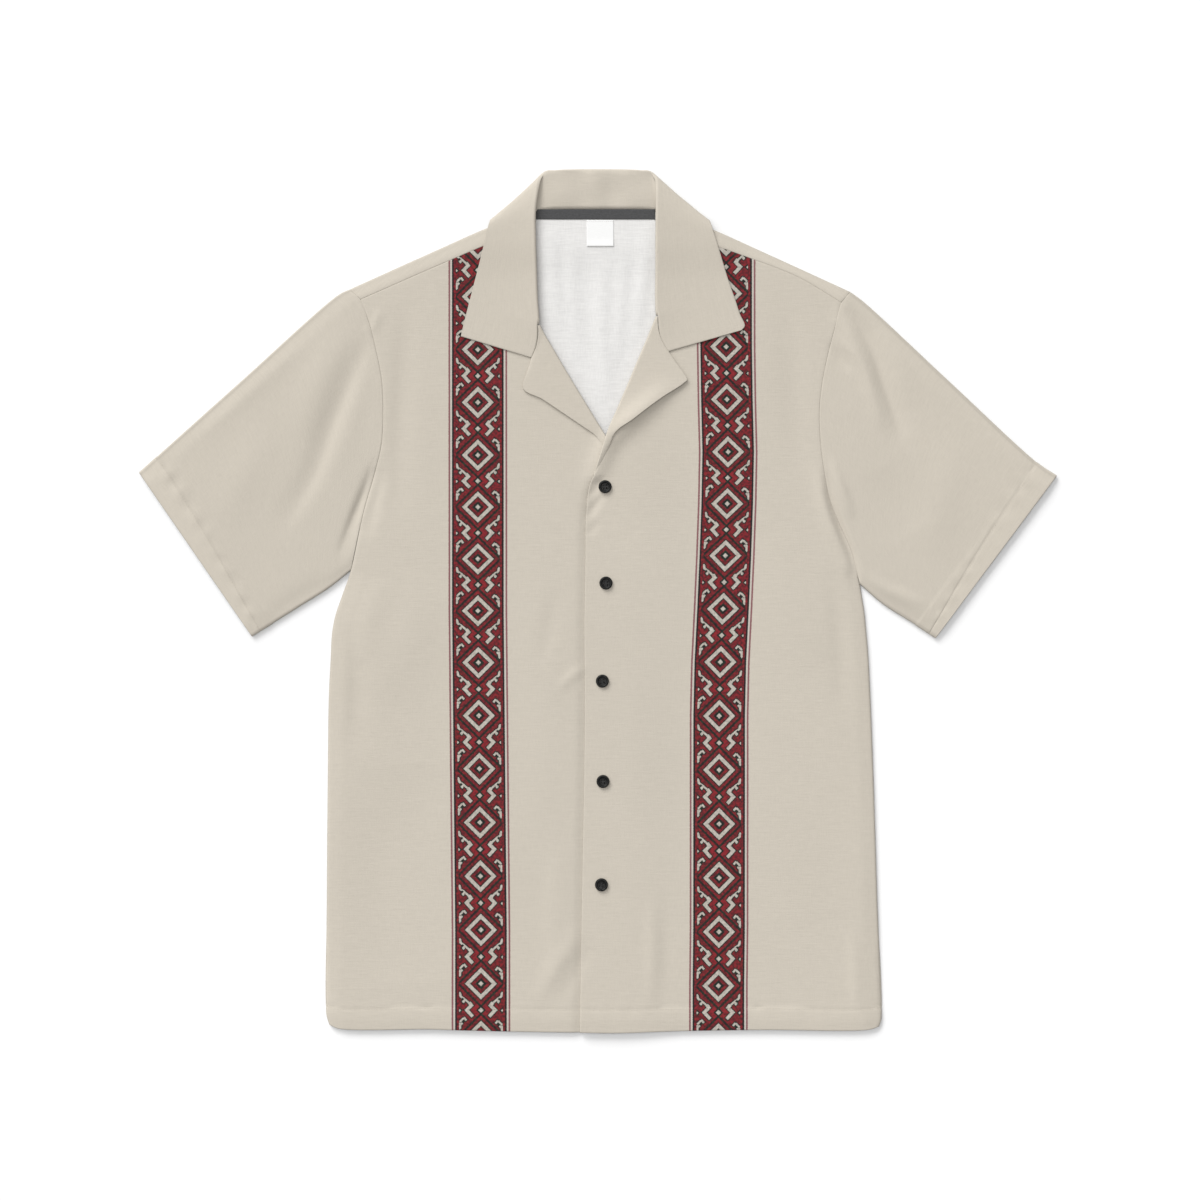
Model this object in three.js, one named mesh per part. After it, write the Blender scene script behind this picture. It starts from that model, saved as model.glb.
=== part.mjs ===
import * as THREE from 'three';

// A short-sleeved camp shirt, buttoned and laid flat on its back, front up.
// Millimetres. X runs to the right of the picture, Y towards the collar, Z up.
// The origin is the middle of the shirt's footprint, on the surface that it lies on.

// Cloth and seams
const WALL = 1.2;
const FACED_WALL = 1.6;
const TRIM_WALL = 1.0;
const SEAM_GAP = 0.3;
const LAYER_GAP = 0.4;
const ARMHOLE_GAP = 1.0;
const HEM_DEPTH = 22;
const HEM_STEP = 0.4;

// Heights of the middle of each wall
const BACK_LEVEL = WALL / 2;
const EDGE_LEVEL = 2.1;
const FRONT_LEVEL = 3.4;
const FOLD_RADIUS = 0.9;
const EDGE_ROUNDING = 16;
const OVERLAP_LIFT = 1.7;

// The collar's fall lies under the back and lifts it
const FALL_LIFT = 1.9;
const FALL_HALF_WIDTH = 104;
const FALL_EDGE_Y = 333;
const FALL_FADE = 40;
const FALL_LEVEL = FACED_WALL / 2;
const COLLAR_ROLL = { front: 1.9, back: 1.2 };
const LAPEL_ROLL = 1.5;
const LAPEL_TURN_IN = 3.9;

// Closure
const BUTTON = { diameter: 12, thickness: 2.4, bevel: 0.5, hole: 1.7, holeSpacing: 2.9 };
const OVERLAP_FULL_X = 28;
const OVERLAP_END_X = 52;
const OVERLAP_TOP_Y = 150;
const OVERLAP_FADE_Y = 60;

const COLOURS = {
  cloth: 0xd0c8bb,
  tape: 0x4a4a4a,
  label: 0xf2f2f0,
  button: 0x202020,
};

// A table gives its column names once, then one row for each section or fold.
function table(columns, rows) {
  const names = columns.split(' ');
  return rows.map((row) => Object.fromEntries(names.map((name, i) => [name, row[i]])));
}

// Side seam and armhole, from the hem up to the shoulder tip
const LEFT_SIDE = table('x y', [
  [-246.6, -389.6], [-249.5, -380], [-249.3, -275], [-247.5, -91], [-245.7, -53],
  [-244.4, -29], [-241.3, -13], [-234.3, 7.4], [-227.2, 27.6], [-215.3, 82],
  [-204.5, 120], [-199, 143], [-197.5, 165], [-198.6, 202], [-206.4, 241], [-211.6, 260], [-218, 277],
]);
const RIGHT_SIDE = table('x y', [
  [258.1, -391], [260.4, -383.6], [256.7, -275], [253.9, -183], [251.2, -109.5],
  [248.4, -50], [244.9, -11], [240.5, 16], [232.6, 47], [222, 70.6],
  [213.5, 92], [208, 118], [204.5, 145], [203.5, 176], [206.9, 206],
  [213.9, 237], [217.4, 250], [223.6, 274.2],
]);
const LEFT_TIP = { x: -228.3, y: 286 };
const RIGHT_TIP = { x: 231.8, y: 283.8 };
const LEFT_UNDERARM_Y = 27.6;
const RIGHT_UNDERARM_Y = 16;

// Bottom edges, left to right
const LEFT_HEM = table('x y', [
  [-246.6, -389.6], [-238.5, -393], [-154.6, -393.6], [-133.4, -394.3], [-16, -396.5], [22.1, -395.6],
]);
const RIGHT_HEM = table('x y', [
  [-16.6, -396.5], [13.8, -397], [77.8, -395.1], [149, -394.1], [250.2, -393.8], [258.1, -391],
]);
const BACK_HEM = table('x y', [
  [-246.6, -389.6], [-238.5, -393], [-154.6, -393.6], [0, -396], [149, -394.1], [250.2, -393.8], [258.1, -391],
]);

// Shoulder folds and forward seams, from the armhole to the neck
const LEFT_SHOULDER = table('x y', [[-228.3, 286], [-164, 315], [-100.1, 343], [-81, 349.6], [-60.7, 356]]);
const RIGHT_SHOULDER = table('x y', [[231.8, 283.8], [168, 313], [105.4, 341], [84.6, 348.7], [60.7, 356]]);
const LEFT_SEAM = table('x y', [[-218, 277], [-138.4, 311.9], [-104.9, 326], [-62.6, 342.2]]);
const RIGHT_SEAM = table('x y', [[223.6, 274.2], [183.4, 297.8], [143.1, 313.7], [113.7, 324], [58.9, 341.3]]);
const BACK_NECK = table('x y', [[-60.7, 356], [-45, 358.8], [0, 359.6], [45, 358.8], [60.7, 356]]);

// Centre edges of the fronts, from the hem up to the forward seam at the neck
const LEFT_INNER = table('x y', [
  [22.1, -395.6], [22.1, -100], [22.1, 111], [19, 125], [2.2, 149.8], [-30, 204], [-58.6, 250.7],
  [-60.3, 277], [-62.6, 342.2],
]);
const RIGHT_INNER = table('x y', [
  [-16.6, -396.5], [-14.7, -275], [-12, -109.5], [-12.4, -18.4], [-11.5, 37.7], [-11, 74.5],
  [-9.2, 107.6], [-4, 117], [1.8, 124], [5.4, 131], [11.6, 149], [34, 201], [58.8, 257.6],
  [58, 277], [58.9, 341.3],
]);

// Sleeve edges, from the body out to the cuff
const LEFT_SLEEVE = {
  armhole: [...LEFT_SIDE.slice(8), LEFT_TIP].reverse(),
  top: table('x y', [[-228.3, 286], [-238.1, 281.3], [-330, 199.5], [-421.4, 117.3]]),
  under: table('x y', [[-227.2, 27.6], [-247.5, 11.6], [-275.6, -6], [-305.6, -24.5], [-318.2, -32.4]]),
  outward: -1,
};
const RIGHT_SLEEVE = {
  armhole: [...RIGHT_SIDE.slice(7), RIGHT_TIP].reverse(),
  top: table('x y', [[231.8, 283.8], [244.4, 274.3], [324, 200], [404, 125.9], [421.3, 114.4]]),
  under: table('x y', [[240.5, 16], [262.5, -2.5], [290.6, -20.1], [310.9, -33.3]]),
  outward: 1,
};

// Soft folds of the front and the sleeves: ridges have a positive height, troughs a negative one
const FOLDS = table('x1 y1 x2 y2 width height', [
  [-207, 240, -256, 120, 11, -1.3],
  [-232, 240, -276, 128, 16, 1.8],
  [-206, 122, -237, 40, 6, -1.4],
  [-197, 112, -226, 44, 8, 1.8],
  [-175, 274, -184, 77, 12, -1.0],
  [-262, 60, -300, 20, 14, 1.5],
  [-300, 160, -345, 70, 20, 1.2],
  [232, 272, 270, 159, 10, -1.3],
  [252, 262, 300, 150, 15, 1.8],
  [209, 132, 233, 75, 7, 1.8],
  [213, 93, 238, 24, 5, -1.3],
  [255, 20, 304, -7, 9, 1.8],
  [205, 243, 245, 200, 8, 1.0],
  [330, 150, 300, 40, 20, 1.1],
  [150, 60, 205, -60, 26, 1.2],
  [-150, 20, -205, -90, 26, 1.1],
  [49, -275, 49, -371, 9, 1.2],
  [-19, -319, -46, -339, 7, 1.2],
  [120, -120, 190, -300, 28, 0.9],
  [-90, -60, -150, -260, 28, 0.9],
]);

// Collar stations from the notch, round the roll to the middle of the back: roll (rx, ry),
// outer edge (ex, ey), neck seam (nx, ny), turn of the roll in degrees (stand below the fall at -90,
// above it at 90) and how far the fall is raised from the surface (0) to the fronts (1).
const COLLAR_COLUMNS = 'rx ry ex ey nx ny turn high stand';
const LEFT_COLLAR = table(COLLAR_COLUMNS, [
  [-60.9, 223.2, -126, 243, 0, 0, -90, 1, 0],
  [-57.6, 230.6, -124.2, 251, 0, 0, -90, 1, 0],
  [-55.4, 238.6, -122.2, 259, 0, 0, -90, 1, 0],
  [-54.2, 254, -118.6, 273, -56.6, 256, -90, 1, 1],
  [-55.7, 277, -114.5, 289, -59.4, 277, -90, 1, 1],
  [-56.6, 304.5, -109.5, 308.2, -60.6, 304.5, -90, 1, 1],
  [-57.4, 332, -104.9, 326.6, -61.4, 332, -90, 1, 1],
  [-57.5, 356, -102, 339.5, -60.6, 347, -75, 1, 1],
  [-55.7, 372.6, -99.8, 347.2, -59.4, 353, -45, 0.86, 1],
  [-53.1, 387.3, -97.5, 350.4, -58.6, 357.4, 0, 0.5, 1],
  [-50, 393.3, -90.2, 349.8, -54.5, 358.6, 55, 0.02, 1],
  [-38.6, 395.6, -69, 344.1, -42, 359.9, 90, 0, 1],
  [-24.8, 396.3, -42.3, 339.5, -25, 360.3, 90, 0, 1],
  [0, 396.5, 0, 336, 0, 360.4, 90, 0, 1],
]);
const RIGHT_COLLAR = table(COLLAR_COLUMNS, [
  [64.3, 229, 131.9, 248.6, 0, 0, -90, 1, 0],
  [59.6, 236, 135, 252.6, 0, 0, -90, 1, 0],
  [56.2, 245, 130.6, 263, 0, 0, -90, 1, 0],
  [53.6, 262, 126, 277, 55.6, 262, -90, 1, 1],
  [53, 277, 120.5, 292.6, 56.4, 277, -90, 1, 1],
  [53.2, 304.5, 114.5, 311.9, 57, 304.5, -90, 1, 1],
  [53.2, 332, 108.6, 331.2, 57.4, 332, -90, 1, 1],
  [53.4, 356, 105.6, 340.5, 59, 347, -75, 1, 1],
  [53.4, 372.6, 104, 345.4, 58.6, 353, -45, 0.86, 1],
  [53, 387.3, 101, 350, 58.2, 357.4, 0, 0.5, 1],
  [49.4, 393.5, 92, 350.4, 54.5, 358.6, 55, 0.02, 1],
  [38.6, 395.6, 70, 344.1, 42, 359.9, 90, 0, 1],
  [24.8, 396.3, 42.3, 339.5, 25, 360.3, 90, 0, 1],
]);

// Lapel stations from the gorge seam down the roll: roll (rx, ry), outer edge (ex, ey), sideways bow
const LEFT_LAPEL = table('rx ry ex ey bow', [
  [-52.2, 250.4, -59.4, 221.6, 2.2], [-48.4, 243, -65, 210, 0], [-43, 234, -69, 197.6, 0],
  [-29.4, 210.7, -50.6, 184.9, 0], [-16.6, 189.5, -32.2, 173.4, 0], [-3.7, 168.4, -12.9, 161, 0],
  [2.6, 158, -0.5, 153.8, 0],
]);
const RIGHT_LAPEL = table('rx ry ex ey bow', [
  [52.4, 258, 62.6, 227.6, 2.2], [47, 245, 75.2, 212.5, 0], [44, 238, 81.5, 203.4, 0],
  [38, 224, 77.8, 199.5, 0], [29.4, 203.3, 58.9, 186.8, 0], [18.4, 177.6, 33.1, 167.4, 0],
  [8.3, 153.6, 13.8, 151.8, 0], [2.6, 140, 7, 139.4, 0], [-1.6, 129.6, 3, 128.8, 0],
]);

const TAPE = { left: -54.5, right: 50, top: 358, bottom: 350.7 };
const LABEL = { left: -10.4, right: 14.3, top: 348.6, bottom: 326.1 };
const BUTTON_PLACES = table('x y', [[6.5, 104.9], [7.3, 16.5], [4, -73.5], [4.6, -165.6], [3.2, -260.4]]);

// Small helpers
const lerp = THREE.MathUtils.lerp;
const smooth = (t) => THREE.MathUtils.smoothstep(t, 0, 1);
const flat = (place) => new THREE.Vector3(place.x, place.y, 0);
const steps = (count) => Array.from({ length: count + 1 }, (_, i) => i / count);

// A curve through the rows of a table, read by its share of the length
function along(places) {
  const line = new THREE.CatmullRomCurve3(places.map(flat), false, 'centripetal');
  return (t) => line.getPointAt(t);
}

// The x of a side seam at a height y
function sideAt(side, y) {
  const last = side.length - 1;
  const i = Math.min(Math.max(side.findIndex((row) => row.y >= y), 1), last);
  const share = THREE.MathUtils.clamp((y - side[i - 1].y) / (side[i].y - side[i - 1].y), 0, 1);
  return y > side[last].y ? side[last].x : lerp(side[i - 1].x, side[i].x, share);
}

// Heights
function fallLift(x, y) {
  const beside = Math.max(Math.abs(x) - FALL_HALF_WIDTH, 0);
  const below = Math.max(FALL_EDGE_Y - y, 0);
  return FALL_LIFT * (1 - smooth(Math.hypot(beside, below) / FALL_FADE));
}

function foldHeight(x, y) {
  let height = 0;
  for (const fold of FOLDS) {
    const run = new THREE.Vector2(fold.x2 - fold.x1, fold.y2 - fold.y1);
    const from = new THREE.Vector2(x - fold.x1, y - fold.y1);
    const share = THREE.MathUtils.clamp(from.dot(run) / run.lengthSq(), 0, 1);
    const away = from.distanceTo(run.clone().multiplyScalar(share)) / fold.width;
    height += fold.height * Math.exp(-away * away) * (0.55 + 0.45 * Math.sin(Math.PI * share));
  }
  return THREE.MathUtils.clamp(height, -1.3, 2.2);
}

const backLevel = (x, y) => BACK_LEVEL + fallLift(x, y);

function frontLevel(x, y) {
  const side = x < 0 ? LEFT_SIDE : RIGHT_SIDE;
  const underarm = x < 0 ? LEFT_UNDERARM_Y : RIGHT_UNDERARM_Y;
  const inward = Math.abs(sideAt(side, y)) - Math.abs(x) + Math.max(y - underarm, 0) * 0.6;
  const aboveHem = y - LEFT_HEM[0].y + 4;
  const rise = smooth(Math.min(inward, aboveHem) / EDGE_ROUNDING);
  return lerp(EDGE_LEVEL, FRONT_LEVEL, rise) + foldHeight(x, y) * rise + fallLift(x, y);
}

function overlapLift(x, y) {
  const across = 1 - smooth((x - OVERLAP_FULL_X) / (OVERLAP_END_X - OVERLAP_FULL_X));
  return OVERLAP_LIFT * across * (1 - smooth((y - OVERLAP_TOP_Y) / OVERLAP_FADE_Y));
}

// The level of the over front, which rides on the under front at the closure
const overFrontLevel = (x, y) => frontLevel(x, y) + overlapLift(x, y);

// A wall of cloth from a grid of points on its middle surface. Empty places in the grid are null.
// outer(point) gives the wall's reach on the side that the grid's normals point to.
function clothWall(grid, thickness, { closed = false, outer = () => thickness / 2 } = {}) {
  const width = grid[0].length;
  const lastColumn = closed ? width : width - 1;
  const cells = [];
  for (let i = 0; i + 1 < grid.length; i += 1) {
    for (let j = 0; j < lastColumn; j += 1) {
      const k = (j + 1) % width;
      const corners = [[i, j], [i, k], [i + 1, k], [i + 1, j]];
      if (corners.every(([row, column]) => grid[row][column])) {
        cells.push(corners.map(([row, column]) => row * width + column));
      }
    }
  }
  const pointAt = (index) => grid[Math.floor(index / width)][index % width];
  const normals = new Map();
  for (const cell of cells) {
    const [a, b, c, d] = cell.map(pointAt);
    const normal = new THREE.Vector3().crossVectors(c.clone().sub(a), d.clone().sub(b)).normalize();
    for (const index of cell) {
      normals.set(index, (normals.get(index) ?? new THREE.Vector3()).add(normal));
    }
  }
  const numbers = new Map([...normals.keys()].map((index, order) => [index, order]));
  const positions = [];
  for (const side of [1, -1]) {
    for (const [index, normal] of normals) {
      const reach = side > 0 ? outer(pointAt(index)) : thickness / 2;
      const place = pointAt(index).clone().addScaledVector(normal.clone().normalize(), side * reach);
      positions.push(place.x, place.y, place.z);
    }
  }
  const count = numbers.size;
  const triangles = [];
  const edges = new Map();
  for (const cell of cells) {
    const [a, b, c, d] = cell.map((index) => numbers.get(index));
    triangles.push(a, b, c, a, c, d);
    triangles.push(a + count, c + count, b + count, a + count, d + count, c + count);
    for (const [from, to] of [[a, b], [b, c], [c, d], [d, a]]) {
      if (!edges.delete(`${to} ${from}`)) edges.set(`${from} ${to}`, [from, to]);
    }
  }
  for (const [from, to] of edges.values()) {
    triangles.push(from, from + count, to, to, from + count, to + count);
  }
  const geometry = new THREE.BufferGeometry();
  geometry.setAttribute('position', new THREE.Float32BufferAttribute(positions, 3));
  geometry.setIndex(triangles);
  return geometry;
}

// A patch between four edges: bottom and top run left to right, left and right run upwards
function patch({ left, right, bottom, top }, across, up) {
  return up.map((v) => across.map((u) => {
    const point = bottom(u).multiplyScalar(1 - v).addScaledVector(top(u), v);
    point.addScaledVector(left(v), 1 - u).addScaledVector(right(v), u);
    point.addScaledVector(bottom(0), -(1 - u) * (1 - v)).addScaledVector(bottom(1), -u * (1 - v));
    return point.addScaledVector(top(0), -(1 - u) * v).addScaledVector(top(1), -u * v);
  }));
}

// Shares up a panel: two rows close together where the hem ends, and closer rows along the armhole
const PANEL_LENGTH = 720;
const UNDERARM_SHARE = 0.6;
const ARMHOLE_ROWS = 12;
const upPanel = (bodyRows) => [0, (HEM_DEPTH - 1) / PANEL_LENGTH, (HEM_DEPTH + 1) / PANEL_LENGTH,
  ...steps(bodyRows).map((v) => v * UNDERARM_SHARE).filter((v) => v * PANEL_LENGTH > HEM_DEPTH + 8),
  ...steps(ARMHOLE_ROWS).slice(1).map((v) => lerp(UNDERARM_SHARE, 1, v))];
const hemReach = (point) => WALL / 2 + (point.y < LEFT_HEM[0].y + HEM_DEPTH - 4 ? HEM_STEP : 0);

// Shares across a front, closer together towards its centre edge
const towardsCentre = (columns) => steps(columns).map((t) => 1 - (1 - t) ** 1.4);

function frontPanel(edges, across, level) {
  const grid = patch(edges, across, upPanel(14));
  for (const point of grid.flat()) point.z = level(point.x, point.y);
  return clothWall(grid, WALL, { outer: hemReach });
}

function frontLeft() {
  const edges = {
    left: along(LEFT_SIDE), right: along(LEFT_INNER), bottom: along(LEFT_HEM), top: along(LEFT_SEAM),
  };
  return frontPanel(edges, towardsCentre(12), frontLevel);
}

function frontRight() {
  const edges = {
    left: along(RIGHT_INNER),
    right: along(RIGHT_SIDE),
    bottom: along(RIGHT_HEM),
    top: along([...RIGHT_SEAM].reverse()),
  };
  return frontPanel(edges, towardsCentre(12).map((u) => 1 - u).reverse(), overFrontLevel);
}

// The roll of a fold: points on a half circle from its lower side round to its upper side
const ROLL_ANGLES = [-90, -45, 0, 45, 90].map(THREE.MathUtils.degToRad);

// The back: a panel to the neck and shoulder folds, then each shoulder turned over to its forward seam
function back() {
  const shoulders = [
    { fold: along(LEFT_SHOULDER), seam: along(LEFT_SEAM) },
    { fold: along(RIGHT_SHOULDER), seam: along(RIGHT_SEAM) },
  ];
  const neck = along(BACK_NECK);
  const inset = ({ fold, seam }, share) => {
    const tip = fold(share);
    const inward = seam(share).sub(tip).normalize();
    return { inward, centre: tip.addScaledVector(inward, FOLD_RADIUS) };
  };
  const columns = [
    ...steps(8).map((t) => ({ u: 0.34 * t, shoulder: 0, share: t })),
    ...steps(6).slice(1, -1).map((t) => ({ u: 0.34 + 0.32 * t, neck: t })),
    ...steps(8).map((t) => ({ u: 0.66 + 0.34 * t, shoulder: 1, share: 1 - t })),
  ];
  const tops = columns.map((column) => (column.neck ? neck(column.neck)
    : inset(shoulders[column.shoulder], column.share).centre));
  const topAt = (u) => tops[columns.findIndex((column) => Math.abs(column.u - u) < 1e-9)].clone();
  const edges = {
    left: along([...LEFT_SIDE, { x: tops[0].x, y: tops[0].y }]),
    right: along([...RIGHT_SIDE, { x: tops.at(-1).x, y: tops.at(-1).y }]),
    bottom: along(BACK_HEM),
    top: topAt,
  };
  const grid = patch(edges, columns.map((column) => column.u), upPanel(10));
  for (const point of grid.flat()) point.z = backLevel(point.x, point.y);
  for (const angle of ROLL_ANGLES.slice(1)) {
    grid.push(columns.map((column) => {
      if (column.neck) return null;
      const { inward, centre } = inset(shoulders[column.shoulder], column.share);
      const level = backLevel(centre.x, centre.y) + FOLD_RADIUS;
      centre.addScaledVector(inward, -FOLD_RADIUS * Math.cos(angle));
      centre.z = level + FOLD_RADIUS * Math.sin(angle);
      return centre;
    }));
  }
  for (const t of [0.4, 0.75, 1]) {
    grid.push(columns.map((column) => {
      if (column.neck) return null;
      const shoulder = shoulders[column.shoulder];
      const { inward, centre } = inset(shoulder, column.share);
      const foldLevel = backLevel(centre.x, centre.y) + 2 * FOLD_RADIUS;
      const end = shoulder.seam(column.share).addScaledVector(inward, -SEAM_GAP * 1.3);
      const endLevel = frontLevel(end.x, end.y);
      return new THREE.Vector3(lerp(centre.x, end.x, t), lerp(centre.y, end.y, t), lerp(foldLevel, endLevel, t));
    }));
  }
  return clothWall(grid, WALL);
}

// A sleeve: one flattened tube, with a rounded fold along the top and under the arm
function sleeve({ armhole, top, under, outward }) {
  const clear = ({ x, y }) => ({ x: x + outward * ARMHOLE_GAP, y });
  const edges = {
    left: along([clear(top[0]), ...top.slice(1)]),
    right: along([clear(under[0]), ...under.slice(1)]),
    bottom: along(armhole.map(clear)),
    top: along([top.at(-1), under.at(-1)]),
  };
  const length = 250;
  const lengthwise = [...steps(11).filter((v) => (1 - v) * length > HEM_DEPTH + 8),
    1 - (HEM_DEPTH + 1) / length, 1 - (HEM_DEPTH - 1) / length, 1];
  const sheet = patch(edges, steps(ARMHOLE_ROWS), lengthwise);
  const rings = sheet.map((row) => {
    const ends = [[row[0], row[1]], [row.at(-1), row.at(-2)]].map(([edge, next]) => {
      const inward = next.clone().sub(edge).normalize();
      return { inward, centre: edge.clone().addScaledVector(inward, FOLD_RADIUS) };
    });
    const upper = row.map((point, i) => {
      const place = i === 0 ? ends[0].centre.clone() : i === row.length - 1 ? ends[1].centre.clone() : point.clone();
      const rise = smooth(Math.min(i, row.length - 1 - i) / 1.5);
      const crown = foldHeight(place.x, place.y);
      place.z = lerp(BACK_LEVEL + 2 * FOLD_RADIUS, FRONT_LEVEL + crown, rise);
      return place;
    });
    const lower = upper.map((point) => new THREE.Vector3(point.x, point.y, BACK_LEVEL)).reverse();
    const roll = ({ inward, centre }, falling) => ROLL_ANGLES.slice(1, -1).map((angle) => {
      const place = centre.clone().addScaledVector(inward, -FOLD_RADIUS * Math.cos(angle));
      place.z = BACK_LEVEL + FOLD_RADIUS + FOLD_RADIUS * Math.sin(falling ? -angle : angle);
      return place;
    });
    const ring = [...upper, ...roll(ends[1], true), ...lower, ...roll(ends[0], false)];
    return outward > 0 ? ring.reverse() : ring;
  });
  const cuff = new THREE.Line3(edges.top(0), edges.top(1));
  const nearest = new THREE.Vector3();
  const reach = (point) => {
    cuff.closestPointToPoint(new THREE.Vector3(point.x, point.y, 0), false, nearest);
    const inHem = Math.hypot(point.x - nearest.x, point.y - nearest.y) < HEM_DEPTH;
    return WALL / 2 + (inHem && point.z > FRONT_LEVEL - 0.6 ? HEM_STEP : 0);
  };
  return clothWall(rings, WALL, { closed: true, outer: reach });
}

// One station of a turned-over piece: seam, up to the roll, round it, and out to the edge
function station({ roll, edge, seam, away, radius, turn, rollLevel, seamLevel, bow, standRows, leafRows, leafLevel }) {
  const across = new THREE.Vector3(-away.y, away.x, 0);
  if (seam && across.dot(seam.clone().sub(roll)) < 0) across.negate();
  const lean = THREE.MathUtils.degToRad(turn);
  const normal = across.multiplyScalar(Math.cos(lean)).add(new THREE.Vector3(0, 0, Math.sin(lean)));
  const centre = roll.clone().addScaledVector(away, radius);
  centre.z = rollLevel;
  const round = ROLL_ANGLES.map((angle) => centre.clone()
    .addScaledVector(away, -radius * Math.cos(angle))
    .addScaledVector(normal, -radius * Math.sin(angle)));
  const points = [];
  if (seam) {
    const start = seam.clone();
    start.z = seamLevel;
    for (let i = 0; i < standRows; i += 1) points.push(start.clone().lerp(round[0], i / standRows));
    points.push(...round);
  } else {
    for (let i = 0; i < standRows + ROLL_ANGLES.length - 1; i += 1) points.push(null);
    const start = roll.clone();
    start.z = leafLevel(roll.x, roll.y) + radius * 0.6;
    points.push(start);
  }
  const begin = points.at(-1);
  const run = edge.clone().sub(begin).setZ(0).normalize();
  const sideways = new THREE.Vector3(-run.y, run.x, 0);
  for (let i = 1; i <= leafRows; i += 1) {
    const t = i / leafRows;
    const place = begin.clone().lerp(edge, t).addScaledVector(sideways, bow * Math.sin(Math.PI * t));
    const rest = leafLevel(place.x, place.y);
    place.z = rest + (begin.z - leafLevel(begin.x, begin.y)) * (1 - t) ** 2;
    points.push(place);
  }
  return points;
}

function collar() {
  const stations = [...LEFT_COLLAR, ...[...RIGHT_COLLAR].reverse()];
  const grid = stations.map((row) => {
    const roll = flat({ x: row.rx, y: row.ry });
    const edge = flat({ x: row.ex, y: row.ey });
    const seam = row.stand ? flat({ x: row.nx, y: row.ny }) : null;
    const radius = lerp(COLLAR_ROLL.back, COLLAR_ROLL.front, row.high);
    const seamFront = frontLevel(row.nx, row.ny);
    const seamLevel = lerp(backLevel(row.nx, row.ny), seamFront, row.high);
    const restGap = (WALL + FACED_WALL) / 2 + LAYER_GAP;
    return station({
      roll,
      edge,
      seam,
      away: edge.clone().sub(roll).normalize(),
      radius,
      turn: row.turn,
      rollLevel: lerp(FALL_LEVEL + COLLAR_ROLL.back, seamFront + COLLAR_ROLL.front, row.high),
      seamLevel,
      bow: 0,
      standRows: 3,
      leafRows: 6,
      leafLevel: (x, y) => lerp(FALL_LEVEL, frontLevel(x, y) + restGap, row.high),
    });
  });
  return clothWall(grid, FACED_WALL);
}

function lapel(rows, level, outward) {
  const grid = rows.map((row, i) => {
    const roll = flat({ x: row.rx, y: row.ry });
    const before = rows[Math.max(i - 1, 0)];
    const after = rows[Math.min(i + 1, rows.length - 1)];
    const away = new THREE.Vector3(after.ry - before.ry, before.rx - after.rx, 0).normalize();
    if (away.x * outward < 0) away.negate();
    return station({
      roll,
      edge: flat({ x: row.ex, y: row.ey }),
      seam: roll.clone().addScaledVector(away, LAPEL_TURN_IN),
      away,
      radius: LAPEL_ROLL,
      turn: -90,
      rollLevel: level(row.rx, row.ry) + LAPEL_ROLL,
      seamLevel: level(row.rx, row.ry),
      bow: -row.bow * outward,
      standRows: 1,
      leafRows: 5,
      leafLevel: (x, y) => level(x, y) + (WALL + WALL) / 2 + LAYER_GAP,
    });
  });
  return clothWall(grid, WALL);
}

// A strip of trim on the inside of the back, made from the back's own surface moved out
function trimOnBack({ left, right, top, bottom }, columns, rows) {
  const level = (x, y) => backLevel(x, y) + WALL / 2 + SEAM_GAP + TRIM_WALL / 2;
  const grid = steps(rows).map((v) => steps(columns).map((u) => {
    const x = lerp(left, right, u);
    const y = lerp(bottom, top, v);
    return new THREE.Vector3(x, y, level(x, y));
  }));
  return clothWall(grid, TRIM_WALL);
}

function button() {
  const outline = new THREE.Shape().absarc(0, 0, BUTTON.diameter / 2 - BUTTON.bevel, 0, 2 * Math.PI);
  for (const [x, y] of [[1, 1], [-1, 1], [-1, -1], [1, -1]]) {
    const hole = new THREE.Path();
    hole.absarc(x * BUTTON.holeSpacing / 2, y * BUTTON.holeSpacing / 2, BUTTON.hole / 2 + BUTTON.bevel, 0, 2 * Math.PI);
    outline.holes.push(hole);
  }
  const geometry = new THREE.ExtrudeGeometry(outline, {
    depth: BUTTON.thickness - 2 * BUTTON.bevel,
    bevelThickness: BUTTON.bevel,
    bevelSize: BUTTON.bevel,
    bevelSegments: 1,
    curveSegments: 4,
  });
  return geometry.translate(0, 0, BUTTON.bevel);
}

const shirt = new THREE.Group();

function add(name, geometry, color, roughness, metalness = 0) {
  const mesh = new THREE.Mesh(geometry, new THREE.MeshStandardMaterial({ color, roughness, metalness }));
  mesh.name = name;
  shirt.add(mesh);
  return mesh;
}

add('back', back(), COLOURS.cloth, 0.9);
add('front_left', frontLeft(), COLOURS.cloth, 0.9);
add('front_right', frontRight(), COLOURS.cloth, 0.9);
add('sleeve_left', sleeve(LEFT_SLEEVE), COLOURS.cloth, 0.9);
add('sleeve_right', sleeve(RIGHT_SLEEVE), COLOURS.cloth, 0.9);
add('collar', collar(), COLOURS.cloth, 0.9);
add('lapel_left', lapel(LEFT_LAPEL, frontLevel, -1), COLOURS.cloth, 0.9);
add('lapel_right', lapel(RIGHT_LAPEL, overFrontLevel, 1), COLOURS.cloth, 0.9);
add('neck_tape', trimOnBack(TAPE, 10, 1), COLOURS.tape, 0.8);
add('care_label', trimOnBack(LABEL, 2, 4), COLOURS.label, 0.7);
BUTTON_PLACES.forEach(({ x, y }, i) => {
  const mesh = add(`button_${i + 1}`, button(), COLOURS.button, 0.35);
  mesh.position.set(x, y, overFrontLevel(x, y) + WALL / 2 + SEAM_GAP);
});

export default shirt;
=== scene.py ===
import math

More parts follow.
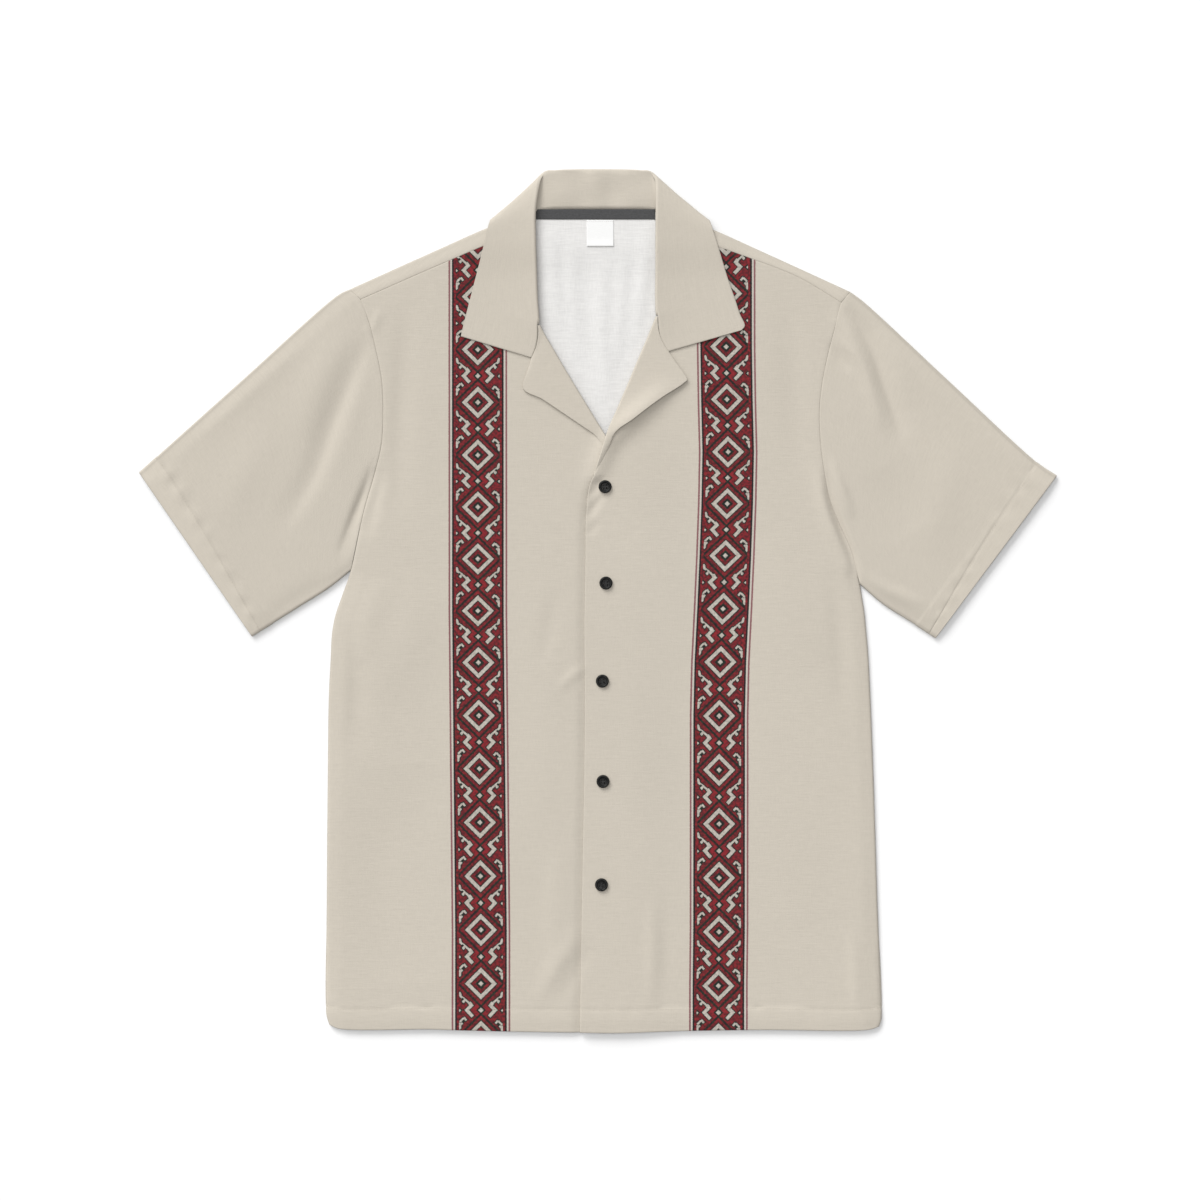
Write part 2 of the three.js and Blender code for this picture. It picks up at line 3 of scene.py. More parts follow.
import bpy
import numpy as np
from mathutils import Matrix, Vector


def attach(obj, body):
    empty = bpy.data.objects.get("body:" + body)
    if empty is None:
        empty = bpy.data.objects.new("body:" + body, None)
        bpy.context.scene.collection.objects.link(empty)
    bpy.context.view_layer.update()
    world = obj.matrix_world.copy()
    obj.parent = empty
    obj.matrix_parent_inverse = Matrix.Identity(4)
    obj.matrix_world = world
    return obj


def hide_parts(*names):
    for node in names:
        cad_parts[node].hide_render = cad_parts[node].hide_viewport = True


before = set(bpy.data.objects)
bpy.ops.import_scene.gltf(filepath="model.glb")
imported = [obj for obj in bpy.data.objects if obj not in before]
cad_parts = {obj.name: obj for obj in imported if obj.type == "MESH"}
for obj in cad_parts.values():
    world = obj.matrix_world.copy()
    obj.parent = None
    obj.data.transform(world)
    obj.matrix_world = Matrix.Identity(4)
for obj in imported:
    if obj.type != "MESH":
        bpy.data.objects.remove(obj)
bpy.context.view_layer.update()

# Sizes are in millimetres, with X to the right, Y towards the collar and Z up from the table.
# Meshes are made in metres.
MM = 0.001

# Cloth
CLOTH = 0.7
TAPE_WALL = 0.6
LABEL_WALL = 0.35
HEM_DEPTH = 22
HEM_STEP = 0.35
# How much each unit of the hem attribute changes the cloth's tone. The attribute holds the hem's own lighter
# tone and painted shade along edges and folds
HEM_TONE_AND_PAINTED_SHADE = 0.016
CUFF_TONE = 2.4
# Painted shade: the strength and width of the darker line along cloth edges, folds and the cuffs' hem line,
# where the cloth turns away from the light
EDGE_SHADE_PAINT = 8.0
EDGE_SHADE_PAINT_WIDTH = 1.1
HEM_GROOVE = 0.28
HEM_GROOVE_WIDTH = 0.9
HEM_SEAM_Y = -373.5
HEM_STITCH_AT = HEM_DEPTH - 0.8
HEM_LINES = [HEM_STITCH_AT, HEM_DEPTH, HEM_DEPTH + 0.8]
HEM_EDGE_Y = -398
ARMPIT_Y = 24
ARMPIT_START_Y = 22
GRID_STEP = 3.0
EDGE_LINES = [0, 0.3, 0.8, 1.5, 2.6]

# Heights of the middle of each wall, and of the stitches on the underside
UNDER_STITCH = 0.17
BACK_LEVEL = 0.5
EDGE_LEVEL = 1.25
EDGE_ROUND = 2.2
FLOOR_OF_FOLDS = 1.7
HEM_LEVEL = 3.8
FRONT_LEVEL = 4.6
ROLL_RADIUS = 1.4
EDGE_ROUNDING = 15
OVERLAP_LIFT = 1.9
OVERLAP_FULL_X = 25
OVERLAP_END_X = 85
OVERLAP_TOP_Y = 150
OVERLAP_FADE_Y = 60
PRESSED = 1.3
PRESSED_WIDTH = 4.2
PRESSED_TOP_Y = 85
PRESSED_FADE_Y = 30
SEAM_DIP = 0.25
SEAM_DIP_WIDTH = 1.0
SHOULDER_SEAM_DIP = 0.06
ARMHOLE_GAP = 0.05
SLEEVE_ROLL = 1.5

# The collar's fall lies under the back and lifts it
FALL_LIFT = 1.9
FALL_HALF_WIDTH = 104
FALL_EDGE_Y = 333
FALL_FADE = 40
FALL_LEVEL = 0.8
COLLAR_ROLL_FRONT = 1.45
COLLAR_ROLL_BACK = 1.2
LAPEL_ROLL = 1.1
LAPEL_TURN_IN = 3.9
LAPEL_SINK = 1.7
LAPEL_SAG = 0.8
LAPEL_SINK_LENGTH = 16
LAPEL_TURN_SHARE = 0.7
STAND_RIPPLE = 1.1
LAPEL_WALL = 1.1
COLLAR_WALL = 1.1

# A wall's share of its thickness along its rim and beside it, and how clear things lie of each other
RIM_SHARE = 0.35
NEAR_RIM_SHARE = 0.85
TABLE_CLEARANCE = 0.02
SEWN_LIFT = 0.02
HEM_PUCKER = 0.16
CUFF_PUCKER = 0.42


def places(*rows):
    return np.array(rows, float)


# Side seam and armhole, from the hem up to the shoulder tip
LEFT_SIDE = places(
    (-246.6, -389.6), (-249.5, -380), (-249.3, -275), (-247.5, -91), (-245.7, -53),
    (-244.4, -29), (-241.3, -13), (-234.3, 7.4), (-227.2, 27.6), (-215.3, 82),
    (-204.5, 120), (-199, 143), (-197.5, 165), (-198.6, 202), (-206.4, 241), (-211.6, 260), (-218, 277))
RIGHT_SIDE = places(
    (258.1, -391), (260.4, -383.6), (256.7, -275), (253.9, -183), (251.2, -109.5),
    (248.4, -50), (244.9, -11), (240.5, 16), (232.6, 47), (222, 70.6),
    (213.5, 92), (208, 118), (204.5, 145), (203.5, 176), (206.9, 206),
    (213.9, 237), (217.4, 250), (223.6, 274.2))
LEFT_TIP = (-228.3, 286)
RIGHT_TIP = (231.8, 283.8)
LEFT_UNDERARM = 8
RIGHT_UNDERARM = 7

# Bottom edges, left to right
LEFT_HEM = places(
    (-246.6, -389.6), (-238.5, -393), (-154.6, -393.6), (-133.4, -394.3), (-16, -396.5), (22.1, -395.6))
RIGHT_HEM = places(
    (-16.6, -396.5), (13.8, -397), (77.8, -395.1), (149, -394.1), (250.2, -393.8), (258.1, -391))
BACK_HEM = places(
    (-246.6, -389.6), (-238.5, -393), (-154.6, -393.6), (0, -396), (149, -394.1), (250.2, -393.8),
    (258.1, -391))

# Shoulder folds and forward seams, from the armhole to the neck
LEFT_SHOULDER = places((-228.3, 286), (-164, 315), (-100.1, 343), (-81, 349.6), (-60.7, 356))
RIGHT_SHOULDER = places((231.8, 283.8), (168, 313), (105.4, 341), (84.6, 348.7), (60.7, 356))
LEFT_SEAM = places((-218, 277), (-138.4, 311.9), (-104.9, 326), (-62.6, 342.2))
RIGHT_SEAM = places((223.6, 274.2), (183.4, 297.8), (143.1, 313.7), (113.7, 324), (58.9, 341.3))
BACK_NECK = places((-60.7, 356), (-45, 358.8), (0, 359.6), (45, 358.8), (60.7, 356))

# Centre edges of the fronts, from the hem up to the forward seam at the neck
LEFT_INNER = places(
    (22.1, -395.6), (22.1, -100), (22.1, 111), (19, 125), (2.2, 149.8), (-30, 204), (-58.6, 250.7),
    (-60.3, 277), (-62.6, 342.2))
RIGHT_INNER = places(
    (-16.6, -396.5), (-14.7, -275), (-12, -109.5), (-12.4, -18.4), (-11.5, 37.7), (-11, 74.5),
    (-8.0, 105), (-3.4, 116), (1.0, 125), (5.2, 133), (11.6, 149), (34, 201), (58.8, 257.6),
    (58, 277), (58.9, 341.3))

# Sleeve edges, from the body out to the cuff
LEFT_SLEEVE = {
    "side": LEFT_SIDE, "underarm": LEFT_UNDERARM, "tip": LEFT_TIP, "outward": -1, "armhole_dip": SEAM_DIP,
    "top": places((-228.3, 286), (-238.1, 281.3), (-330, 199.5), (-421.4, 117.3)),
    "under": places((-227.2, 27.6), (-247.5, 11.6), (-275.6, -6), (-305.6, -24.5), (-318.2, -32.4)),
}
RIGHT_SLEEVE = {
    "side": RIGHT_SIDE, "underarm": RIGHT_UNDERARM, "tip": RIGHT_TIP, "outward": 1, "armhole_dip": 0.1,
    "top": places((231.8, 283.8), (244.4, 274.3), (324, 200), (404, 125.9), (421.3, 114.4)),
    "under": places((240.5, 16), (262.5, -2.5), (290.6, -20.1), (310.9, -33.3)),
}

# Creases. Each has its width to the left and to the right of its way, its height, and the places
# that it runs through. A trough has a negative height. A narrow side is a sharp crease, a wide one
# fades into the cloth.
CREASES = [
    # the sleeve on the left
    (8, 12, -2.6, (-209, 241), (-222, 220), (-236, 185), (-247, 157), (-260, 120), (-278, 88), (-289, 70)),
    (9, 9, 0.5, (-213, 211), (-226, 166), (-239, 120)),
    (15, 17, 1.3, (-231, 249), (-258, 199), (-276, 148)),
    (8, 4, -2.4, (-206, 125), (-214, 103), (-225, 76), (-237, 43)),
    (4, 3, 0.9, (-203, 116), (-212, 90), (-223, 62)),
    (5, 3, 0.8, (-200, 268), (-204, 258), (-208, 246)),
    (13, 16, 0.9, (-272, 244), (-320, 200), (-372, 150)),
    (18, 18, 1.0, (-300, 160), (-324, 118), (-345, 70)),
    (5, 9, -1.0, (-244, 20), (-275, 1), (-304, -15)),
    # the sleeve on the right
    (13, 5.4, -3.3, (230, 272), (240, 256), (253, 230), (264, 199), (273, 172), (280, 148)),
    (5.6, 6.6, 2.7, (218, 262), (231, 242), (243, 216), (254, 184), (262, 158)),
    (14, 14, 1.5, (252, 249), (271, 212), (283, 176)),
    (2.6, 2.6, 0.8, (216, 245), (227, 234), (239, 221)),
    (4, 4, -1.3, (212, 236), (221, 224), (230, 212)),
    (5, 5, 1.8, (214, 128), (224, 102), (233, 76)),
    (4, 7, 2.0, (203, 122), (207, 92), (215, 66), (226, 40), (233, 18)),
    (4, 4, -2.9, (209, 118), (214, 92), (223, 67), (233, 41), (240, 18)),
    (5, 7, 1.4, (250, 22), (264, 12), (282, 4), (304, -6)),
    (24, 24, -0.8, (259, 120), (276, 92), (292, 65)),
    (18, 18, 0.9, (330, 150), (318, 100), (300, 40)),
    (12, 16, 0.7, (350, 160), (380, 130), (396, 96)),
    # the front on the left
    (12, 10, -1.3, (-175, 274), (-181, 180), (-184, 77)),
    (6, 13, -1.6, (-199, 122), (-205, 94), (-213, 58)),
    (14, 12, 1.3, (-196, 20), (-212, -20), (-216, -60)),
    (12, 8, -1.1, (-228, -20), (-222, -60), (-224, -140)),
    (26, 26, 1.3, (-150, 20), (-175, -30), (-205, -90)),
    (28, 28, 1.1, (-90, -60), (-120, -150), (-150, -260)),
    (7, 8, 1.0, (-16, -300), (-28, -320), (-44, -345), (-56, -372)),
    (7, 8, -0.8, (-8, -318), (-20, -338), (-34, -368)),
    (5, 4, 0.9, (-10, -60), (-22, -67), (-36, -81)),
    (8, 8, -0.7, (-38, 10), (-44, -20), (-52, -60)),
    (24, 24, 0.9, (-60, 60), (-50, -60), (-52, -220)),
    (14, 10, 0.9, (-34, -220), (-40, -290), (-36, -370)),
    (20, 24, -0.8, (-200, -190), (-205, -260), (-190, -350)),
    # the front on the right
    (8, 6, 1.0, (49, -275), (50, -320), (49, -371)),
    (9, 8, -0.5, (60, -270), (62, -320), (60, -376)),
    (26, 26, 1.3, (150, 60), (175, 0), (205, -60)),
    (28, 28, 1.1, (120, -120), (160, -200), (190, -300)),
    (12, 9, -1.1, (216, 30), (222, -30), (226, -100)),
    (12, 14, -1.0, (172, 286), (180, 200), (186, 120)),
    (24, 20, 0.8, (30, 60), (60, 20), (84, -60)),
    (7, 5, 1.1, (232, -300), (236, -340), (238, -384)),
    (9, 9, 4.1, (66, 196), (45, 179), (26, 163), (11, 147), (4, 132), (-3, 117), (-9, 104)),
    (2.6, 2.8, -1.5, (6, 113), (-1, 109.5), (-8, 106)),
    (2.8, 3.6, -1.9, (5, 110), (-2, 103), (-8, 94)),
    (2.8, 4.2, -1.7, (5, 98), (-2, 88), (-9, 75)),
    (3, 4, -0.8, (2, 73), (-4, 67), (-10, 60)),
    (40, 60, -2.2, (-168, -150), (-168, -250), (-160, -350))]

# Ripples of the back, seen through the open neck, then the soft folds of its underside
BACK_CREASES = [
    (7, 9, 1.6, (-43, 344), (-41, 300), (-36, 250)),
    (7, 8, 1.2, (-22, 338), (-24, 290), (-16, 220)),
    (7, 9, 1.5, (7, 322), (4, 250), (6, 180)),
    (6, 7, 1.1, (24, 330), (22, 280), (14, 210)),
    (6, 7, 1.2, (44, 344), (42, 300), (34, 240)),
    (7, 12, 1.1, (-150, 210), (-162, 90), (-150, -40)),
    (12, 7, 1.1, (160, 200), (150, 80), (166, -60)),
    (9, 12, 1.0, (-60, 110), (-74, -60), (-52, -220)),
    (12, 9, 1.0, (72, 50), (58, -120), (84, -280)),
    (5, 9, 1.0, (-205, 50), (-192, -20), (-204, -90)),
    (9, 5, 1.0, (210, 62), (198, 0), (210, -70)),
    (8, 8, 0.9, (130, -200), (152, -280), (140, -370)),
    (8, 8, 0.9, (-104, -230), (-112, -300), (-98, -380)),
    (5, 10, 1.1, (-186, 150), (-176, 120), (-150, 96)),
    (10, 5, 1.1, (188, 140), (176, 112), (150, 92)),
    (16, 16, 0.8, (-20, 160), (10, 60), (-10, -60))]

# Soft folds of the sleeves' undersides
SLEEVE_UNDER_CREASES = [
    (6, 10, 1.2, (-216, 214), (-240, 170), (-262, 110)),
    (8, 12, 1.0, (-246, 240), (-286, 190), (-326, 120)),
    (5, 8, 1.1, (-216, 110), (-236, 70), (-270, 30)),
    (10, 6, 1.2, (222, 210), (244, 168), (264, 110)),
    (12, 8, 1.0, (252, 240), (290, 186), (328, 118)),
    (8, 5, 1.1, (224, 100), (244, 60), (276, 24))]

# Collar stations from the notch up the gorge, then round the roll to the middle of the back:
# roll (rx, ry), outer edge (ex, ey), neck seam (nx, ny), turn of the roll in degrees, share of the
# full height, and 1 where there is a stand. Along the gorge the leaf starts flat, with no stand.
LEFT_COLLAR = places(
    (-60.9, 223.2, -126, 243, -62, 223, -90, 1, 0), (-57.6, 230.6, -124.2, 251, -59, 231, -90, 1, 0),
    (-55.4, 238.6, -122.2, 259, -57, 240, -90, 1, 0), (-54.2, 254, -118.6, 273, -56.6, 256, -90, 1, 1),
    (-55.7, 277, -114.5, 289, -59.4, 277, -90, 1, 1), (-56.6, 304.5, -109.5, 308.2, -60.6, 304.5, -90, 1, 1),
    (-57.4, 332, -104.9, 326.6, -61.4, 332, -90, 1, 1), (-57.5, 356, -102, 339.5, -60.6, 347, -75, 1, 1),
    (-55.7, 372.6, -99.8, 347.2, -59.4, 353, -45, 0.86, 1),
    (-53.1, 387.3, -97.5, 350.4, -58.6, 357.4, 0, 0.5, 1),
    (-50, 393.3, -90.2, 349.8, -54.5, 358.6, 55, 0.02, 1), (-38.6, 395.6, -69, 344.1, -42, 359.9, 90, 0, 1),
    (-24.8, 396.3, -42.3, 339.5, -25, 360.3, 90, 0, 1), (0, 396.5, 0, 336, 0, 360.4, 90, 0, 1))
RIGHT_COLLAR = places(
    (64.3, 229, 131.9, 248.6, 65.3, 229, -90, 1, 0), (59.6, 236, 135, 252.6, 61.6, 236, -90, 1, 0),
    (56.2, 245, 130.6, 263, 58.2, 246, -90, 1, 0), (53.6, 262, 126, 277, 55.6, 262, -90, 1, 1),
    (53, 277, 120.5, 292.6, 56.4, 277, -90, 1, 1), (53.2, 304.5, 114.5, 311.9, 57, 304.5, -90, 1, 1),
    (53.2, 332, 108.6, 331.2, 57.4, 332, -90, 1, 1), (53.4, 356, 105.6, 340.5, 59, 347, -75, 1, 1),
    (53.4, 372.6, 104, 345.4, 58.6, 353, -45, 0.86, 1), (53, 387.3, 101, 350, 58.2, 357.4, 0, 0.5, 1),
    (49.4, 393.5, 92, 350.4, 54.5, 358.6, 55, 0.02, 1), (38.6, 395.6, 70, 344.1, 42, 359.9, 90, 0, 1),
    (24.8, 396.3, 42.3, 339.5, 25, 360.3, 90, 0, 1))

# Lapel stations from the gorge seam down the roll: roll (rx, ry), outer edge (ex, ey), sideways bow
LEFT_LAPEL = places(
    (-53.8, 253.4, -60.8, 223.6, 2.7), (-48.4, 243, -65, 209.8, 0), (-43, 234, -69.4, 197.3, 0),
    (-29.4, 210.7, -50.6, 184.9, 0), (-16.6, 189.5, -32.2, 172.6, 0), (-3.7, 168.4, -12.9, 159.6, 0),
    (2.6, 158, -2.2, 152.0, 0), (6.4, 151.8, 1.8, 146.9, 0), (9.4, 147.2, 5.0, 142.8, 0),
    (12.4, 142.8, 9.2, 139.6, 0), (15.6, 138.4, 13.4, 136.6, 0))
RIGHT_LAPEL = places(
    (53.5, 261.4, 64.2, 229.6, 3.4), (47, 245, 75.2, 213.5, 0), (44, 238, 81.9, 203.9, 0),
    (38, 224, 78.8, 199.9, 0), (29.4, 203.3, 58.9, 186.8, 0), (18.4, 177.6, 33.1, 167.4, 0),
    (8.3, 153.6, 13.8, 151.8, 0), (5.6, 145.2, 10.6, 143.6, 0), (3.3, 137.8, 7.4, 136.6, 0),
    (1.0, 130.6, 4.4, 129.6, 0), (-0.9, 124.6, 1.9, 123.8, 0), (-2.5, 119.6, -0.6, 119.1, 0),
    (-3.7, 115.8, -2.7, 115.5, 0))

TAPE = (-57.0, 52.5, 350.7, 360.0)
LABEL = (-10.4, 14.3, 326.1, 350.0)
BUTTONS = places((6.5, 104.9), (7.3, 16.5), (4, -73.5), (4.6, -165.6), (3.2, -260.4))
BUTTON_RADIUS = 6.0
BUTTON_SEGMENTS = 48
HOLE_SPACING = 1.45
HOLE_RADIUS = 0.95
# How far out, as a share of the radius, and how high
BUTTON_PROFILE = places(
    (0, 0), (0.72, 0), (0.93, 0.45), (1, 1.05), (0.98, 1.55), (0.93, 1.95), (0.87, 2.15), (0.79, 2.2),
    (0.71, 2.1), (0.65, 1.8), (0.60, 1.4), (0.5, 1.25), (0, 1.25))

# The printed bands: the middle of each band at a few heights, and how high some of its big diamonds lie.
# The print is pulled a little out of true, so that its repeats differ in length.
STITCH = 0.92
LEFT_BAND = {
    "x": (-107.5, -110.3, -110.4), "y": (-302.7, -9.2, 230.9),
    "repeat": (0, 2, 5, 6, 8, 12), "at": (231, 134, -9, -56.5, -154, -351.5)}
RIGHT_BAND = {
    "x": (110.6, 111.2, 111.3, 112.4, 114.9, 117, 118.7, 119.6, 118.4, 117.7),
    "y": (-354, -300, -105, -56, -6, 42, 89, 137, 185, 235),
    "repeat": (0, 2, 4, 6, 12), "at": (233.5, 137, 41.7, -56, -353.5)}


# Curves and patches

def along(points):
    """A smooth curve through the points, as a function of the share of its length."""
    points = np.asarray(points, float)
    ends = np.vstack([2 * points[0] - points[1], points, 2 * points[-1] - points[-2]])
    dense = []
    for a, b, c, d in zip(ends, ends[1:], ends[2:], ends[3:]):
        t0 = 0.0
        t1 = t0 + np.linalg.norm(b - a) ** 0.5
        t2 = t1 + np.linalg.norm(c - b) ** 0.5
        t3 = t2 + np.linalg.norm(d - c) ** 0.5
        t = np.linspace(t1, t2, 24, endpoint=False)[:, None]
        ab = (t1 - t) / (t1 - t0) * a + (t - t0) / (t1 - t0) * b
        bc = (t2 - t) / (t2 - t1) * b + (t - t1) / (t2 - t1) * c
        cd = (t3 - t) / (t3 - t2) * c + (t - t2) / (t3 - t2) * d
        abc = (t2 - t) / (t2 - t0) * ab + (t - t0) / (t2 - t0) * bc
        bcd = (t3 - t) / (t3 - t1) * bc + (t - t1) / (t3 - t1) * cd
        dense.append((t2 - t) / (t2 - t1) * abc + (t - t1) / (t2 - t1) * bcd)
    dense = np.vstack([*dense, points[-1:]])
    length = np.concatenate([[0], np.cumsum(np.linalg.norm(np.diff(dense, axis=0), axis=1))])

    def curve(share):
        at = np.asarray(share) * length[-1]
        return np.stack([np.interp(at, length, dense[:, k]) for k in range(dense.shape[1])], -1)

    curve.length = length[-1]
    return curve


def spline(params, values, at):
    """Rows of values, smoothly filled in between their params."""
    slopes = np.gradient(values, params, axis=0)
    i = np.clip(np.searchsorted(params, at, side="right") - 1, 0, len(params) - 2)
    step = (params[i + 1] - params[i])[:, None]
    t = ((at - params[i]) / (params[i + 1] - params[i]))[:, None]
    start = (2 * t**3 - 3 * t**2 + 1) * values[i] + (t**3 - 2 * t**2 + t) * step * slopes[i]
    return start + (3 * t**2 - 2 * t**3) * values[i + 1] + (t**3 - t**2) * step * slopes[i + 1]


def shares(length, step=GRID_STEP, start=EDGE_LINES, end=EDGE_LINES, also=()):
    """Shares of a length: even steps, with close lines along each edge and round any other place."""
    middle = np.linspace(0, length, max(int(round(length / step)), 2) + 1)
    near = [*start, *(length - np.array(end)), *also]
    keep = [m for m in middle if min(abs(m - n) for n in near) > step * 0.4]
    return np.unique(np.round([*near, *keep], 4)) / length


def patch(left, right, bottom, top, across, up):
    """A grid between four edges: bottom and top run left to right, left and right run upwards."""
    u, v = across[None, :, None], up[:, None, None]
    grid = (1 - v) * bottom(across)[None] + v * top(across)[None]
    grid = grid + (1 - u) * left(up)[:, None] + u * right(up)[:, None]
    grid = grid - (1 - u) * (1 - v) * bottom(0.0) - u * (1 - v) * bottom(1.0)
    return grid - (1 - u) * v * top(0.0) - u * v * top(1.0)


def smooth(t):
    t = np.clip(t, 0, 1)
    return t * t * (3 - 2 * t)


def mix(a, b, t):
    return a + (b - a) * t


def with_height(grid, height):
    return np.dstack([grid, np.broadcast_to(height, grid.shape[:2])])


# Heights

def fall_lift(x, y):
    beside = np.maximum(np.abs(x) - FALL_HALF_WIDTH, 0)
    below = np.maximum(FALL_EDGE_Y - y, 0)
    return FALL_LIFT * (1 - smooth(np.hypot(beside, below) / FALL_FADE))


def crease_height(x, y, creases):
    """The sum of the creases, each deepest in its middle and fading out at its ends."""
    height = np.zeros_like(x)
    for left, right, rise, *path in creases:
        line = along(path)(np.linspace(0, 1, 4 * len(path)))
        reach = 3 * max(left, right)
        near = (x > line[:, 0].min() - reach) & (x < line[:, 0].max() + reach)
        near &= (y > line[:, 1].min() - reach) & (y < line[:, 1].max() + reach)
        px, py = x[near], y[near]
        nearest = np.full(px.shape, 1e9)
        side, share = np.zeros_like(px), np.zeros_like(px)
        for k, (a, b) in enumerate(zip(line, line[1:])):
            run = b - a
            s = np.clip(((px - a[0]) * run[0] + (py - a[1]) * run[1]) / (run @ run), 0, 1)
            dx, dy = px - a[0] - s * run[0], py - a[1] - s * run[1]
            distance = np.hypot(dx, dy)
            closer = distance < nearest
            nearest = np.where(closer, distance, nearest)
            side = np.where(closer, (run[0] * dy - run[1] * dx) / np.linalg.norm(run), side)
            share = np.where(closer, (k + s) / (len(line) - 1), share)
        width = mix(right, left, smooth(0.5 + side / (2 * min(left, right))))
        fade = 0.12 + 0.88 * np.sin(np.pi * np.clip(share, 0, 1)) ** 0.8
        height[near] += rise * np.exp(-((nearest / width) ** 2)) * fade
    return height


def softness(x, y):
    """The faint unevenness of cloth that has been smoothed by hand."""
    wave = 0.16 * np.sin(x / 31 + 1.3 * np.sin(y / 74)) * np.sin(y / 58 + 0.7)
    return wave + 0.10 * np.sin(x / 17 + y / 43 + 2.1) * np.sin(y / 29 - x / 61)


def folds(x, y):
    """Creases and unevenness together, never deeper than the layers below allow."""
    height = crease_height(x, y, CREASES) + softness(x, y)
    return np.maximum(height, FLOOR_OF_FOLDS - FRONT_LEVEL)


def back_level(x, y):
    return BACK_LEVEL + fall_lift(x, y) + np.maximum(crease_height(x, y, BACK_CREASES), 0)


def edge_profile(inward):
    """The share of the full height, by distance from a folded or sewn edge."""
    rounded = np.sqrt(1 - (1 - np.clip(inward / EDGE_ROUND, 0, 1)) ** 2)
    return 0.62 * rounded + 0.38 * smooth(inward / EDGE_ROUNDING)


def base_front(x, y):
    """The fronts without their folds, and the share of the folds' height that each place takes."""
    inward_left = x - np.interp(y, LEFT_SIDE[:, 1], LEFT_SIDE[:, 0])
    inward_right = np.interp(y, RIGHT_SIDE[:, 1], RIGHT_SIDE[:, 0]) - x
    above = np.maximum(y - ARMPIT_START_Y, 0) * 0.6
    inward = np.minimum(inward_left, inward_right) + above
    above_hem = smooth((y - HEM_EDGE_Y) / EDGE_ROUNDING)
    plateau = mix(HEM_LEVEL, FRONT_LEVEL, above_hem)
    return mix(EDGE_LEVEL, plateau, edge_profile(inward)), smooth(inward / EDGE_ROUNDING) * above_hem


def front_level(x, y):
    base, rise = base_front(x, y)
    return np.maximum(base + folds(x, y) * rise, EDGE_LEVEL) + fall_lift(x, y)


def under_level(x, y):
    """The level of the under front, which the edge of the over front presses down a little."""
    beside = np.interp(y, RIGHT_INNER[:7, 1], RIGHT_INNER[:7, 0]) - 0.4 - x
    pressed = np.where(beside > 0, dip(beside, PRESSED, PRESSED_WIDTH), PRESSED)
    return front_level(x, y) - pressed * (1 - smooth((y - PRESSED_TOP_Y) / PRESSED_FADE_Y))


def over_level(x, y):
    """The level of the over front, which rides on the under front at the closure."""
    across = 1 - smooth((x - OVERLAP_FULL_X) / (OVERLAP_END_X - OVERLAP_FULL_X))
    return front_level(x, y) + OVERLAP_LIFT * across * (1 - smooth((y - OVERLAP_TOP_Y) / OVERLAP_FADE_Y))


def dip(distance, depth=SEAM_DIP, width=SEAM_DIP_WIDTH):
    """The groove along a seam, by distance from it."""
    return depth * np.exp(-((distance / width) ** 2))


def painted_edge_shade(distance):
    """Painted shade: the thin darker line where a cloth edge turns away from the light, by distance from it.
    """
    return -EDGE_SHADE_PAINT * np.exp(-((distance / EDGE_SHADE_PAINT_WIDTH) ** 2))


# Meshes

def grid_cells(solid, closed):
    """The cells of a grid that have all four corners. solid marks the places that hold a point."""
    rows, width = solid.shape
    i, j = np.meshgrid(np.arange(rows - 1), np.arange(width if closed else width - 1), indexing="ij")
    k = (j + 1) % width
    corners = [i * width + j, i * width + k, (i + 1) * width + k, (i + 1) * width + j]
    cells = np.stack(corners, -1).reshape(-1, 4)
    return cells[solid.ravel()[cells].all(axis=1)]


def point_normals(points, cells):
    """The way that the surface faces at each of its points."""
    normals = np.zeros_like(points)
    cross = np.cross(points[cells[:, 2]] - points[cells[:, 0]], points[cells[:, 3]] - points[cells[:, 1]])
    for corner in range(4):
        np.add.at(normals, cells[:, corner], cross)
    return normals / np.maximum(np.linalg.norm(normals, axis=1, keepdims=True), 1e-12)


def open_edges(cells, count):
    """The pairs of points along the rim, each in the order that its cell has them."""
    pairs = np.vstack([cells[:, [a, (a + 1) % 4]] for a in range(4)])
    key = np.sort(pairs, axis=1)
    _, first, times = np.unique(key[:, 0] * count + key[:, 1], return_index=True, return_counts=True)
    return pairs[first[times == 1]]


def thinned(half_wall, cells, rim):
    """Half the wall at each point, thinner along the rim and a little thinner beside it."""
    edge = np.unique(rim)
    beside = np.zeros(len(half_wall), bool)
    beside[np.unique(cells[np.isin(cells, edge).any(axis=1)])] = True
    beside[edge] = False
    half_wall[edge] *= RIM_SHARE
    half_wall[beside] *= NEAR_RIM_SHARE
    return half_wall


def lay_map(mesh, label, places_2d):
    """Lays a flat map, given in millimetres for each of the mesh's points."""
    corner_vertex = np.zeros(len(mesh.loops), np.int32)
    mesh.loops.foreach_get("vertex_index", corner_vertex)
    layer = mesh.uv_layers.new(name=label)
    layer.data.foreach_set("uv", (places_2d * MM)[corner_vertex].ravel().astype(np.float32))


